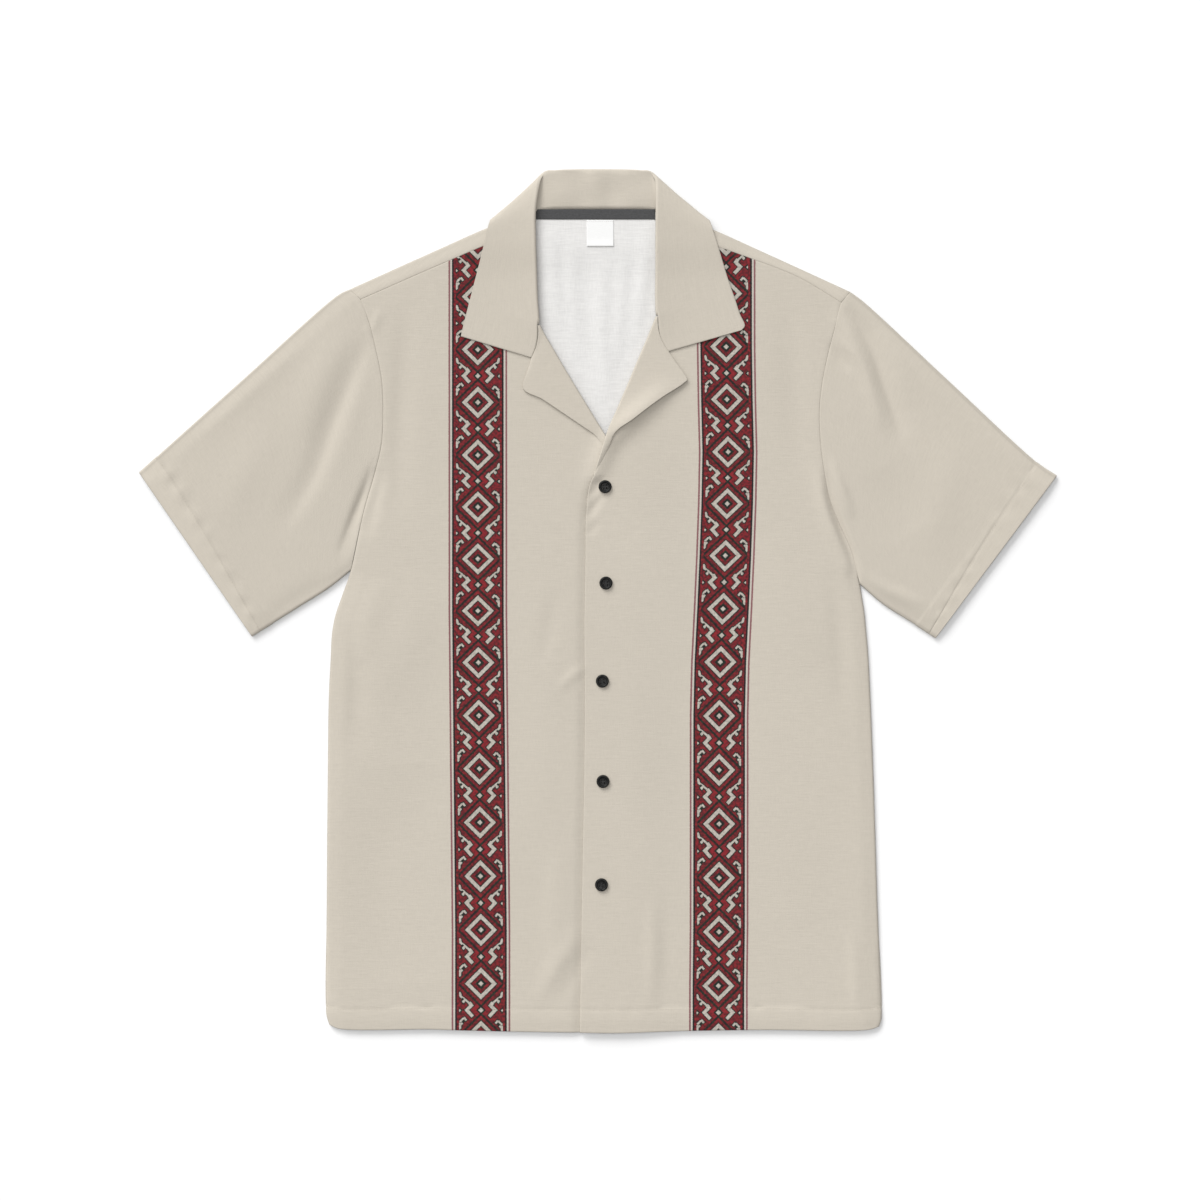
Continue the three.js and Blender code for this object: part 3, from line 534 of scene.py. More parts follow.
def shell(name, grid, thickness, materials, uv, closed=False, reach=None, bands=None, hem=None):
    """A wall of cloth from a grid of points on its middle surface. Empty places hold nan.

    materials are the face's, on the side that the grid's normals point to, and the other side's.
    The wall thins to a rounded edge along its rim."""
    points = grid.reshape(-1, 3)
    cells = grid_cells(~np.isnan(grid[..., 0]), closed)
    normals = point_normals(points, cells)
    used = np.unique(cells)
    count = len(used)
    number = np.full(len(points), -1)
    number[used] = np.arange(count)
    cells = number[cells]
    rim = open_edges(cells, count)
    upper = thinned(np.full(count, thickness / 2) if reach is None else reach(points[used]), cells, rim)
    lower = thinned(np.full(count, thickness / 2), cells, rim)
    top = points[used] + normals[used] * upper[:, None]
    bottom = points[used] - normals[used] * lower[:, None]
    bottom[:, 2] = np.maximum(bottom[:, 2], TABLE_CLEARANCE)
    between = np.column_stack([rim[:, 0], rim[:, 0] + count, rim[:, 1] + count, rim[:, 1]])
    faces = np.vstack([cells, cells[:, ::-1] + count, between])
    mesh = bpy.data.meshes.new(name)
    vertices = np.vstack([top, bottom]) * MM
    mesh.from_pydata(vertices.tolist(), [], faces.tolist())
    for material in materials:
        mesh.materials.append(material)
    index = np.zeros(len(faces), np.int32)
    index[len(cells):2 * len(cells)] = len(materials) - 1
    mesh.polygons.foreach_set("material_index", index)
    mesh.polygons.foreach_set("use_smooth", np.ones(len(faces), bool))
    for label, values in (("cloth", uv), ("band", bands)):
        if values is not None:
            lay_map(mesh, label, np.vstack([values.reshape(-1, 2)[used]] * 2))
    # The hem attribute holds the hem's own lighter tone and painted shade along edges and folds
    if hem is not None:
        layer = mesh.attributes.new("hem", "FLOAT", "POINT")
        values = np.broadcast_to(hem, grid.shape[:2]).ravel()[used]
        layer.data.foreach_set("value", np.concatenate([values, values]).astype(np.float32))
    mesh.update()
    piece = bpy.data.objects.new(name, mesh)
    bpy.context.collection.objects.link(piece)
    return piece


def finish_piece(piece, node):
    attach(piece, "root")
    if node:
        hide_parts(node)


# Materials

class Nodes:
    """A short hand for the nodes of one material."""

    def __init__(self, name, roughness):
        self.material = bpy.data.materials.new(name)
        self.material.use_nodes = True
        self.tree = self.material.node_tree
        self.shader = self.tree.nodes["Principled BSDF"]
        self.shader.inputs["Roughness"].default_value = roughness

    def set(self, socket, value):
        if isinstance(value, bpy.types.NodeSocket):
            self.tree.links.new(value, socket)
        else:
            socket.default_value = value

    def math(self, operation, a, b=0.0, clamp=False):
        node = self.tree.nodes.new("ShaderNodeMath")
        node.operation = operation
        node.use_clamp = clamp
        self.set(node.inputs[0], a)
        self.set(node.inputs[1], b)
        return node.outputs[0]

    def uv(self, layer):
        node = self.tree.nodes.new("ShaderNodeUVMap")
        node.uv_map = layer
        return node.outputs[0]

    def scaled(self, vector, scale, turn=0.0, shift=(0, 0, 0)):
        node = self.tree.nodes.new("ShaderNodeMapping")
        self.set(node.inputs["Vector"], vector)
        node.inputs["Scale"].default_value = scale
        node.inputs["Rotation"].default_value = (0, 0, turn)
        node.inputs["Location"].default_value = shift
        return node.outputs[0]

    def noise(self, vector, detail=2.0, roughness=0.5):
        node = self.tree.nodes.new("ShaderNodeTexNoise")
        self.set(node.inputs["Vector"], vector)
        node.inputs["Scale"].default_value = 1.0
        node.inputs["Detail"].default_value = detail
        node.inputs["Roughness"].default_value = roughness
        return node.outputs["Fac"]

    def mix(self, factor, a, b, blend="MIX"):
        node = self.tree.nodes.new("ShaderNodeMix")
        node.data_type = "RGBA"
        node.blend_type = blend
        self.set(node.inputs["Factor"], factor)
        for socket, value in ((node.inputs[6], a), (node.inputs[7], b)):
            self.set(socket, value if isinstance(value, bpy.types.NodeSocket) else (*value, 1.0))
        return node.outputs[2]

    def split(self, vector):
        node = self.tree.nodes.new("ShaderNodeSeparateXYZ")
        self.set(node.inputs[0], vector)
        return node.outputs[0], node.outputs[1]

    def ramp(self, value, low, high, to_low=0.0, to_high=1.0):
        node = self.tree.nodes.new("ShaderNodeMapRange")
        for socket, entry in zip(node.inputs, (value, low, high, to_low, to_high)):
            self.set(socket, entry)
        return node.outputs[0]

    def bump(self, height, distance, strength=1.0):
        node = self.tree.nodes.new("ShaderNodeBump")
        node.inputs["Strength"].default_value = strength
        node.inputs["Distance"].default_value = distance
        self.set(node.inputs["Height"], height)
        self.set(self.shader.inputs["Normal"], node.outputs[0])


CLOTH_COLOUR = (0.485, 0.443, 0.378)
INSIDE_COLOUR = (0.645, 0.636, 0.622)
BAND_RED = (0.062, 0.009, 0.011)
BAND_RED_BRIGHT = (0.215, 0.013, 0.018)
BAND_DARK = (0.008, 0.008, 0.008)
BAND_GREEN = (0.008, 0.024, 0.014)
BAND_WHITE = (0.47, 0.435, 0.385)
BAND_WHITE_SHADE = (0.30, 0.275, 0.24)
BAND_LINE = (0.20, 0.085, 0.090)


def weave(nodes, colour, strength=1.0):
    """Slubbed plain weave: long faint streaks both ways, with fine threads in the relief."""
    uv = nodes.uv("cloth")
    weft = nodes.noise(nodes.scaled(uv, (95, 900, 1)), 3.0, 0.6)
    warp = nodes.noise(nodes.scaled(uv, (900, 95, 1), shift=(3, 7, 0)), 3.0, 0.6)
    slub = nodes.noise(nodes.scaled(uv, (38, 420, 1), shift=(11, 5, 0)), 2.0)
    cloud = nodes.noise(nodes.scaled(uv, (9, 7, 1), shift=(1, 2, 0)), 2.0)
    threads = nodes.math("ADD", nodes.math("ADD", weft, nodes.math("MULTIPLY", warp, 0.8)),
                         nodes.math("MULTIPLY", slub, 0.5))
    shade = nodes.ramp(threads, 0.9, 1.4, 1 - 0.034 * strength, 1 + 0.034 * strength)
    shade = nodes.math("MULTIPLY", shade, nodes.ramp(cloud, 0.3, 0.7, 0.992, 1.008))
    # The hem attribute adds the hem's own lighter tone and painted shade along edges and folds to the weave's
    # tone
    hem = nodes.tree.nodes.new("ShaderNodeAttribute")
    hem.attribute_name = "hem"
    shade = nodes.math("ADD", shade, nodes.math("MULTIPLY", hem.outputs["Fac"], HEM_TONE_AND_PAINTED_SHADE))
    tone = nodes.tree.nodes.new("ShaderNodeVectorMath")
    tone.operation = "SCALE"
    nodes.set(tone.inputs[0], colour)
    nodes.set(tone.inputs["Scale"], shade)
    u, v = nodes.split(uv)
    thread_u = nodes.math("SINE", nodes.math("MULTIPLY", u, 2 * math.pi / (0.62 * MM)))
    thread_v = nodes.math("SINE", nodes.math("MULTIPLY", v, 2 * math.pi / (0.58 * MM)))
    fine = nodes.math("MULTIPLY", nodes.math("MULTIPLY", thread_u, thread_v), 0.10)
    nodes.bump(nodes.math("ADD", threads, fine), 0.00013)
    return tone.outputs[0]


HALF_REPEAT = 26.5
BAND_HALF = 24.5 * STITCH
ZIGZAG = [(10.6, 6.2, 9.6, 4.6), (9.6, 4.6, 14.2, 0.1), (14.2, 0.1, 9.4, -5.2)]
BARBS = [(21.0, 17.0, 20.2, 13.6), (20.2, 13.6, 16.6, 11.2), (16.6, 11.2, 11.0, 6.4), (17.4, 9.6, 17.4, 8.2)]
HOOK = [
    (21.2, -18.4, 21.0, -13.4), (20.4, -11.0, 18.0, -8.6), (16.4, -8.0, 15.2, -9.6),
    (19.6, -14.0, 19.2, -13.4)]
HOOK_DROP = 3.0
EDGE_DOT = (21.3, -0.3)


def band_chart(nodes, ground):
    """The folk band, charted in stitches: nested diamonds, a lattice, small diamonds, zigzags and hooks."""
    band = nodes.uv("band")
    u, v = nodes.split(nodes.scaled(band, (1 / (STITCH * MM), 1 / (STITCH * MM), 1)))
    for_u = nodes.noise(nodes.scaled(band, (1100, 1100, 1)), 1.0)
    for_v = nodes.noise(nodes.scaled(band, (1100, 1100, 1), shift=(5, 9, 0)), 1.0)
    u = nodes.math("ADD", u, nodes.ramp(for_u, 0, 1, -0.45, 0.45))
    v = nodes.math("ADD", v, nodes.ramp(for_v, 0, 1, -0.45, 0.45))
    out = nodes.math("ABSOLUTE", u)
    repeat = 2 * HALF_REPEAT
    from_big = nodes.math("ABSOLUTE", nodes.math(
        "SUBTRACT", nodes.math("FLOORED_MODULO", nodes.math("ADD", v, HALF_REPEAT), repeat), HALF_REPEAT))
    big = nodes.math("ADD", out, from_big)
    small = nodes.math("ADD", out, nodes.math("SUBTRACT", HALF_REPEAT, from_big))

    def inside(value, limit, soft=0.35):
        return nodes.ramp(value, limit - soft, limit + soft, 1.0, 0.0)

    def between(value, low, high, soft=0.35):
        return nodes.math("MULTIPLY", nodes.ramp(value, low - soft, low + soft), inside(value, high, soft))

    def paint(colour, factor, other, strength=1.0):
        return nodes.mix(nodes.math("MULTIPLY", factor, strength), colour, other)

    # stitches lean both ways and give the red its grain
    grain = nodes.math("MULTIPLY", nodes.math("SINE", nodes.math("MULTIPLY", nodes.math("ADD", u, v), 2.3)),
                       nodes.math("SINE", nodes.math("MULTIPLY", nodes.math("SUBTRACT", u, v), 2.3)))
    cross = nodes.noise(nodes.scaled(band, (420, 420, 1)), 2.0)
    tone = nodes.math("ADD", nodes.math("MULTIPLY", grain, 0.16), cross)
    tone = nodes.math("ADD", tone, nodes.ramp(small, 6, 15, 0.13, 0.0))
    colour = nodes.mix(nodes.ramp(tone, 0.38, 0.68), BAND_RED, BAND_RED_BRIGHT)
    dark = nodes.mix(nodes.ramp(cross, 0.45, 0.62), BAND_DARK, BAND_GREEN)
    white = nodes.mix(nodes.ramp(nodes.math("ADD", cross, nodes.math("MULTIPLY", grain, 0.22)), 0.28, 0.66),
                      BAND_WHITE_SHADE, BAND_WHITE)

    colour = paint(colour, between(big, 21.1, 24.2), dark, 0.95)
    colour = paint(colour, between(big, 9.6, 17.4), dark)
    colour = paint(colour, between(big, 10.9, 15.9), white)
    colour = paint(colour, inside(big, 5.8), dark)
    colour = paint(colour, inside(big, 2.6), white)
    colour = paint(colour, inside(small, 5.0), dark)
    colour = paint(colour, inside(small, 2.6), white)

    # beside each small diamond, w runs up from its middle and out runs from the middle of the band
    w = nodes.math("SUBTRACT", nodes.math("FLOORED_MODULO", v, repeat), HALF_REPEAT)
    right_side = nodes.ramp(u, -0.01, 0.01)
    lowered = nodes.math("ADD", w, nodes.math("MULTIPLY", right_side, HOOK_DROP))

    def stroke(height, x1, y1, x2, y2):
        """The distance from one stroke of the chart, counted in stitches."""
        run = (x2 - x1, y2 - y1)
        squared = run[0] ** 2 + run[1] ** 2
        ds, dw = nodes.math("SUBTRACT", out, x1), nodes.math("SUBTRACT", height, y1)
        part = nodes.math("ADD", nodes.math("MULTIPLY", ds, run[0] / squared),
                          nodes.math("MULTIPLY", dw, run[1] / squared), clamp=True)
        ex = nodes.math("SUBTRACT", ds, nodes.math("MULTIPLY", part, run[0]))
        ey = nodes.math("SUBTRACT", dw, nodes.math("MULTIPLY", part, run[1]))
        return nodes.math("ADD", nodes.math("ABSOLUTE", ex), nodes.math("ABSOLUTE", ey))

    def nearest(height, strokes, half_width):
        distance = stroke(height, *strokes[0])
        for ends in strokes[1:]:
            distance = nodes.math("MINIMUM", distance, stroke(height, *ends))
        return nodes.math("SUBTRACT", distance, half_width)

    distance = nodes.math("MINIMUM", nearest(w, ZIGZAG, 2.35), nearest(w, BARBS, 1.35))
    distance = nodes.math("MINIMUM", distance, nearest(lowered, HOOK, 1.35))
    dot = stroke(w, *EDGE_DOT, EDGE_DOT[0] + 0.1, EDGE_DOT[1])
    colour = paint(colour, inside(dot, 3.2), dark)
    colour = paint(colour, inside(distance, 1.35), dark)
    colour = paint(colour, inside(distance, 0.0), white)
    colour = paint(colour, inside(dot, 1.3), white)
    colour = paint(colour, inside(stroke(w, 18.3, 11.0, 18.4, 11.0), 1.5), dark)
    colour = paint(colour, inside(stroke(lowered, 17.5, -11.4, 17.6, -11.4), 1.6), dark)

    edge = nodes.mix(nodes.ramp(cross, 0.4, 0.65), BAND_RED, BAND_RED_BRIGHT)
    colour = nodes.mix(nodes.ramp(out, 21.6, 22.1), colour, edge)
    colour = nodes.mix(nodes.ramp(out, 23.8, 24.3), colour, BAND_DARK)
    colour = nodes.mix(nodes.ramp(out, 25.5, 26.1), colour, BAND_WHITE)
    colour = nodes.mix(nodes.ramp(out, 27.3, 27.8), colour, BAND_LINE)
    return nodes.mix(nodes.ramp(out, 29.0, 29.6), colour, ground)


def shirt_cloth(name, colour, band=False, strength=1.0):
    nodes = Nodes(name, 0.9)
    nodes.shader.inputs["Specular IOR Level"].default_value = 0.25
    nodes.shader.inputs["Sheen Weight"].default_value = 0.08
    nodes.shader.inputs["Sheen Roughness"].default_value = 0.6
    base = band_chart(nodes, colour) if band else colour
    nodes.set(nodes.shader.inputs["Base Color"], weave(nodes, base, strength))
    return nodes.material


def tape_cloth():
    nodes = Nodes("neck_tape_twill", 0.8)
    u, v = nodes.split(nodes.uv("cloth"))
    rib = nodes.math("SINE", nodes.math("MULTIPLY", nodes.math("ADD", u, v), 2 * math.pi / (1.1 * MM)))
    grain = nodes.noise(nodes.scaled(nodes.uv("cloth"), (500, 900, 1)), 2.0)
    shade = nodes.math("ADD", nodes.math("MULTIPLY", rib, 0.12), grain)
    nodes.set(nodes.shader.inputs["Base Color"],
              nodes.mix(nodes.ramp(shade, 0.3, 0.75), (0.036, 0.036, 0.037), (0.062, 0.062, 0.064)))
    nodes.bump(shade, 0.0002)
    return nodes.material


def label_cloth():
    nodes = Nodes("care_label_satin", 0.6)
    grain = nodes.noise(nodes.scaled(nodes.uv("cloth"), (300, 2200, 1)), 2.0)
    nodes.set(nodes.shader.inputs["Base Color"],
              nodes.mix(nodes.ramp(grain, 0.3, 0.7), (0.72, 0.72, 0.71), (0.76, 0.76, 0.755)))
    nodes.bump(grain, 0.0001)
    return nodes.material


def button_plastic():
    nodes = Nodes("button_resin", 0.36)
    nodes.shader.inputs["Specular IOR Level"].default_value = 0.15
    coordinates = nodes.tree.nodes.new("ShaderNodeTexCoord")
    swirl = nodes.noise(nodes.scaled(coordinates.outputs["Object"], (420, 260, 400)), 3.0)
    nodes.set(nodes.shader.inputs["Base Color"],
              nodes.mix(nodes.ramp(swirl, 0.4, 0.75), (0.006, 0.006, 0.006), (0.018, 0.018, 0.017)))
    nodes.bump(nodes.noise(nodes.scaled(coordinates.outputs["Object"], (1800, 1800, 1800)), 2.0), 0.00004)
    return nodes.material


def thread(name, dark, light):
    nodes = Nodes(name, 0.7)
    coordinates = nodes.tree.nodes.new("ShaderNodeTexCoord")
    strand = nodes.noise(nodes.scaled(coordinates.outputs["Object"], (2600, 2600, 2600)), 2.0)
    nodes.set(nodes.shader.inputs["Base Color"], nodes.mix(nodes.ramp(strand, 0.3, 0.7), dark, light))
    nodes.bump(strand, 0.0001)
    return nodes.material


MATERIALS = {
    "cloth": shirt_cloth("shirt_weave", CLOTH_COLOUR),
    "printed": shirt_cloth("shirt_weave_printed", CLOTH_COLOUR, band=True),
    "inside": shirt_cloth("shirt_inside", INSIDE_COLOUR, strength=1.9),
    "tape": tape_cloth(),
    "label": label_cloth(),
    "button": button_plastic(),
    "thread": thread("sewing_thread", (0.42, 0.385, 0.325), (0.50, 0.46, 0.395)),
    "band_thread": thread("band_thread", (0.045, 0.008, 0.010), (0.110, 0.012, 0.016)),
    "tape_thread": thread("tape_thread", (0.05, 0.05, 0.052), (0.11, 0.11, 0.115)),
    "dark_thread": thread("button_thread", (0.006, 0.006, 0.006), (0.024, 0.024, 0.024)),
}


# Pieces

def hem_reach(points):
    return CLOTH / 2 + np.where(points[:, 1] < HEM_SEAM_Y, HEM_STEP, 0)


def band_map(grid, band):
    """Places on the band's chart: out from its middle, and up from its first big diamond."""
    x, y = grid[..., 0], grid[..., 1]
    number, at = places(band["repeat"], band["at"])
    whole = (at[0] - at[-1]) / (number[-1] - number[0])
    number = np.concatenate([[-3], number, [number[-1] + 3]])
    at = np.concatenate([[at[0] + 3 * whole], at, [at[-1] - 3 * whole]])
    repeats = np.interp(y, at[::-1], number[::-1])
    return np.dstack([x - np.interp(y, band["y"], band["x"]), -2 * HALF_REPEAT * STITCH * repeats])


def stitch_line(grid, heights, at):
    """The row of a grid at a given distance from its first row."""
    high = int(np.searchsorted(heights, at))
    part = (at - heights[high - 1]) / (heights[high] - heights[high - 1])
    return mix(grid[high - 1], grid[high], part)


def front(name, edges, level, band, centre_at_end, node):
    """One front. Returns the places of its hem stitches: before, on and after its band."""
    left, right, bottom, top = (along(edge) for edge in edges)
    length = max(left.length, right.length)
    up = shares(length, also=HEM_LINES)
    across = shares(bottom.length)
    grid = patch(left, right, bottom, top, across, up)
    x, y = grid[..., 0], grid[..., 1]
    from_hem = up[:, None] * length
    height = level(x, y)
    side_distance = np.abs(x - (grid[:, :1, 0] if centre_at_end else grid[:, -1:, 0]))
    height = height - dip(side_distance) * (y > ARMPIT_Y)
    height = height - dip((1 - up[:, None]) * length, SHOULDER_SEAM_DIP)
    height = height - dip(np.abs(from_hem - HEM_DEPTH), HEM_GROOVE, HEM_GROOVE_WIDTH)
    near_hem = np.exp(-(((from_hem - HEM_DEPTH) / 8) ** 2))
    pucker = HEM_PUCKER * near_hem * np.sin(x / 3.3 + 1.8 * np.sin(x / 19)) * np.sin(x / 47 + 0.8)
    solid = with_height(grid, height + pucker)
    # The hem's own lighter tone, and painted shade along the side edge below the armpit and along the bottom
    # edge
    tone = (from_hem < HEM_DEPTH) + painted_edge_shade(side_distance) * (y < ARMPIT_Y) + painted_edge_shade(from_hem)
    piece = shell(name, solid, CLOTH, [MATERIALS["printed"], MATERIALS["inside"]], grid,
                  reach=hem_reach, bands=band_map(grid, band), hem=tone)
    size = (float(np.ptp(x)) * MM, float(np.ptp(y)) * MM)
    finish_piece(piece, node)
    sewn = stitch_line(solid, up * length, HEM_STITCH_AT)[3:-3] + [0, 0, CLOTH / 2 + HEM_STEP + SEWN_LIFT]
    off_band = sewn[:, 0] - np.interp(sewn[:, 1], band["y"], band["x"])
    return sewn[off_band < -BAND_HALF], sewn[np.abs(off_band) < BAND_HALF], sewn[off_band > BAND_HALF]


# The back's length in metres, from its hem over the shoulder folds, with a little to spare
BACK_LENGTH = 0.80
BACK_TURNS = np.radians([-60, -30, 0, 30, 60, 90])
FORWARD_STEPS = (0.1, 0.22, 0.36, 0.5, 0.64, 0.78, 0.88, 0.95, 0.98, 1.0)
YOKE_RISE = 0.25


def shoulder_rows(fold, ends, inward):
    """Rows round the shoulder folds, then on to ends, the places along the forward seams."""
    low = back_level(fold[:, 0], fold[:, 1])
    rows = []
    for angle in BACK_TURNS:
        xy = fold - inward * ROLL_RADIUS * np.cos(angle)
        z = low + ROLL_RADIUS + ROLL_RADIUS * np.sin(angle)
        rows.append(np.column_stack([xy, z])[None])
    for t in FORWARD_STEPS:
        xy = mix(fold, ends, t)
        z = mix(low + 2 * ROLL_RADIUS, front_level(ends[:, 0], ends[:, 1]), smooth(t))
        z = z - dip((1 - t) * np.linalg.norm(ends - fold, axis=1), SHOULDER_SEAM_DIP)
        z = z + YOKE_RISE * np.sin(np.pi * t)
        rows.append(np.column_stack([xy, z])[None])
    return rows


def back():
    """The back, carried over each shoulder fold to its forward seam. Returns its hem stitches' places."""
    shoulders = [(along(LEFT_SHOULDER), along(LEFT_SEAM)), (along(RIGHT_SHOULDER), along(RIGHT_SEAM))]
    neck = along(BACK_NECK)
    shoulder_steps = shares(shoulders[0][0].length, 4.0, start=[0, 1], end=[0, 1])
    neck_steps = shares(neck.length, 4.0, start=[0], end=[0])[1:-1]
    across = np.concatenate([0.34 * shoulder_steps, 0.34 + 0.32 * neck_steps, 0.66 + 0.34 * shoulder_steps])
    count, middle = len(shoulder_steps), len(neck_steps)

    def turned(fold, seam, share):
        tip, end = fold(share), seam(share)
        inward = (end - tip) / np.linalg.norm(end - tip, axis=-1, keepdims=True)
        return inward, tip + inward * ROLL_RADIUS, end - inward * 0.03

    sides = [turned(*shoulders[0], shoulder_steps), turned(*shoulders[1], 1 - shoulder_steps)]
    top_points = np.vstack([sides[0][1], neck(neck_steps), sides[1][1]])

    def top(u):
        return np.stack([np.interp(u, across, top_points[:, k]) for k in range(2)], -1)

    left = along(np.vstack([LEFT_SIDE, sides[0][1][:1]]))
    right = along(np.vstack([RIGHT_SIDE, sides[1][1][-1:]]))
    up = shares(left.length, 4.0, end=[0, 1.5], also=HEM_LINES)
    flat = patch(left, right, along(BACK_HEM), top, across, up)
    from_hem = up[:, None] * left.length
    hem_groove = dip(np.abs(from_hem - HEM_DEPTH), HEM_GROOVE, HEM_GROOVE_WIDTH)
    near_hem = np.exp(-(((from_hem - HEM_DEPTH) / 6) ** 2))
    hem_groove = hem_groove + 0.2 * near_hem * (1 + np.sin(flat[..., 0] / 3.3))
    rows = [with_height(flat, back_level(flat[..., 0], flat[..., 1]) + hem_groove)]
    inward = np.vstack([sides[0][0], np.zeros((middle, 2)), sides[1][0]])
    ends = np.vstack([sides[0][2], np.full((middle, 2), np.nan), sides[1][2]])
    rows += shoulder_rows(top_points, ends, inward)
    grid = np.vstack(rows)
    grid[len(up):, count:count + middle] = np.nan
    moved = np.linalg.norm(np.diff(grid[len(up) - 1:, 0, :2], axis=0), axis=1)
    over = np.cumsum(np.concatenate([[0], moved]))[1:]
    unfolded = np.dstack([np.broadcast_to(grid[len(up) - 1:len(up), :, 0], grid[len(up):, :, 0].shape),
                          grid[len(up) - 1:len(up), :, 1] + over[:, None]])
    uv = np.vstack([flat, unfolded])
    tone = np.zeros((len(grid), 1))
    tone[:len(up)] = CUFF_TONE * (from_hem < HEM_DEPTH)
    # Painted shade round the shoulder folds, darkest where the roll faces sideways
    tone[len(up):len(up) + len(BACK_TURNS), 0] = -EDGE_SHADE_PAINT * np.cos(BACK_TURNS)
    piece = shell("shirt_back", grid, CLOTH, [MATERIALS["inside"], MATERIALS["cloth"]], uv, hem=tone)
    size = (float(np.ptp(flat[..., 0])) * MM, BACK_LENGTH)
    finish_piece(piece, "back")
    hem = stitch_line(grid[:len(up)], up * left.length, HEM_STITCH_AT)[3:-3]
    return hem * [1, 1, 0] + [0, 0, UNDER_STITCH]


# The turns of a sleeve's two folds, from its upper side round to its under side
TURN_ANGLES = [60, 30, 0, -30, -60]


def sleeve_hem_tone_and_painted_shade(edge, to_cuff):
    """Painted shade along the sleeve's edges, its two folds and its hem line, and the hem's own lighter tone,
    all round a sleeve.
    """
    painted_flat_shade = painted_edge_shade(edge - SLEEVE_ROLL)
    painted_turn_shade = np.broadcast_to(-EDGE_SHADE_PAINT * np.cos(np.radians(TURN_ANGLES)), (len(edge), len(TURN_ANGLES)))
    tone = np.hstack([painted_flat_shade, painted_turn_shade, painted_flat_shade[:, ::-1], painted_turn_shade])
    tone = tone + painted_edge_shade(to_cuff) + 0.5 * painted_edge_shade(to_cuff - HEM_DEPTH)
    return tone + CUFF_TONE * (to_cuff < HEM_DEPTH)


def cuff_seam(row):
    """The places of a cuff's stitches, above and below, from the row of the tube that they go through."""
    middle = (BACK_LEVEL + FRONT_LEVEL) / 2
    outwards = np.sign(row[:, 2:] - middle) * [0, 0, CLOTH / 2 + SEWN_LIFT]
    outwards[:, 2] += np.where(row[:, 2] > middle, HEM_STEP, 0)
    sewn = row + outwards
    sewn[:, 2] = np.maximum(sewn[:, 2], UNDER_STITCH)
    return [sewn[row[:, 2] > middle], sewn[row[:, 2] < BACK_LEVEL + 0.05]]


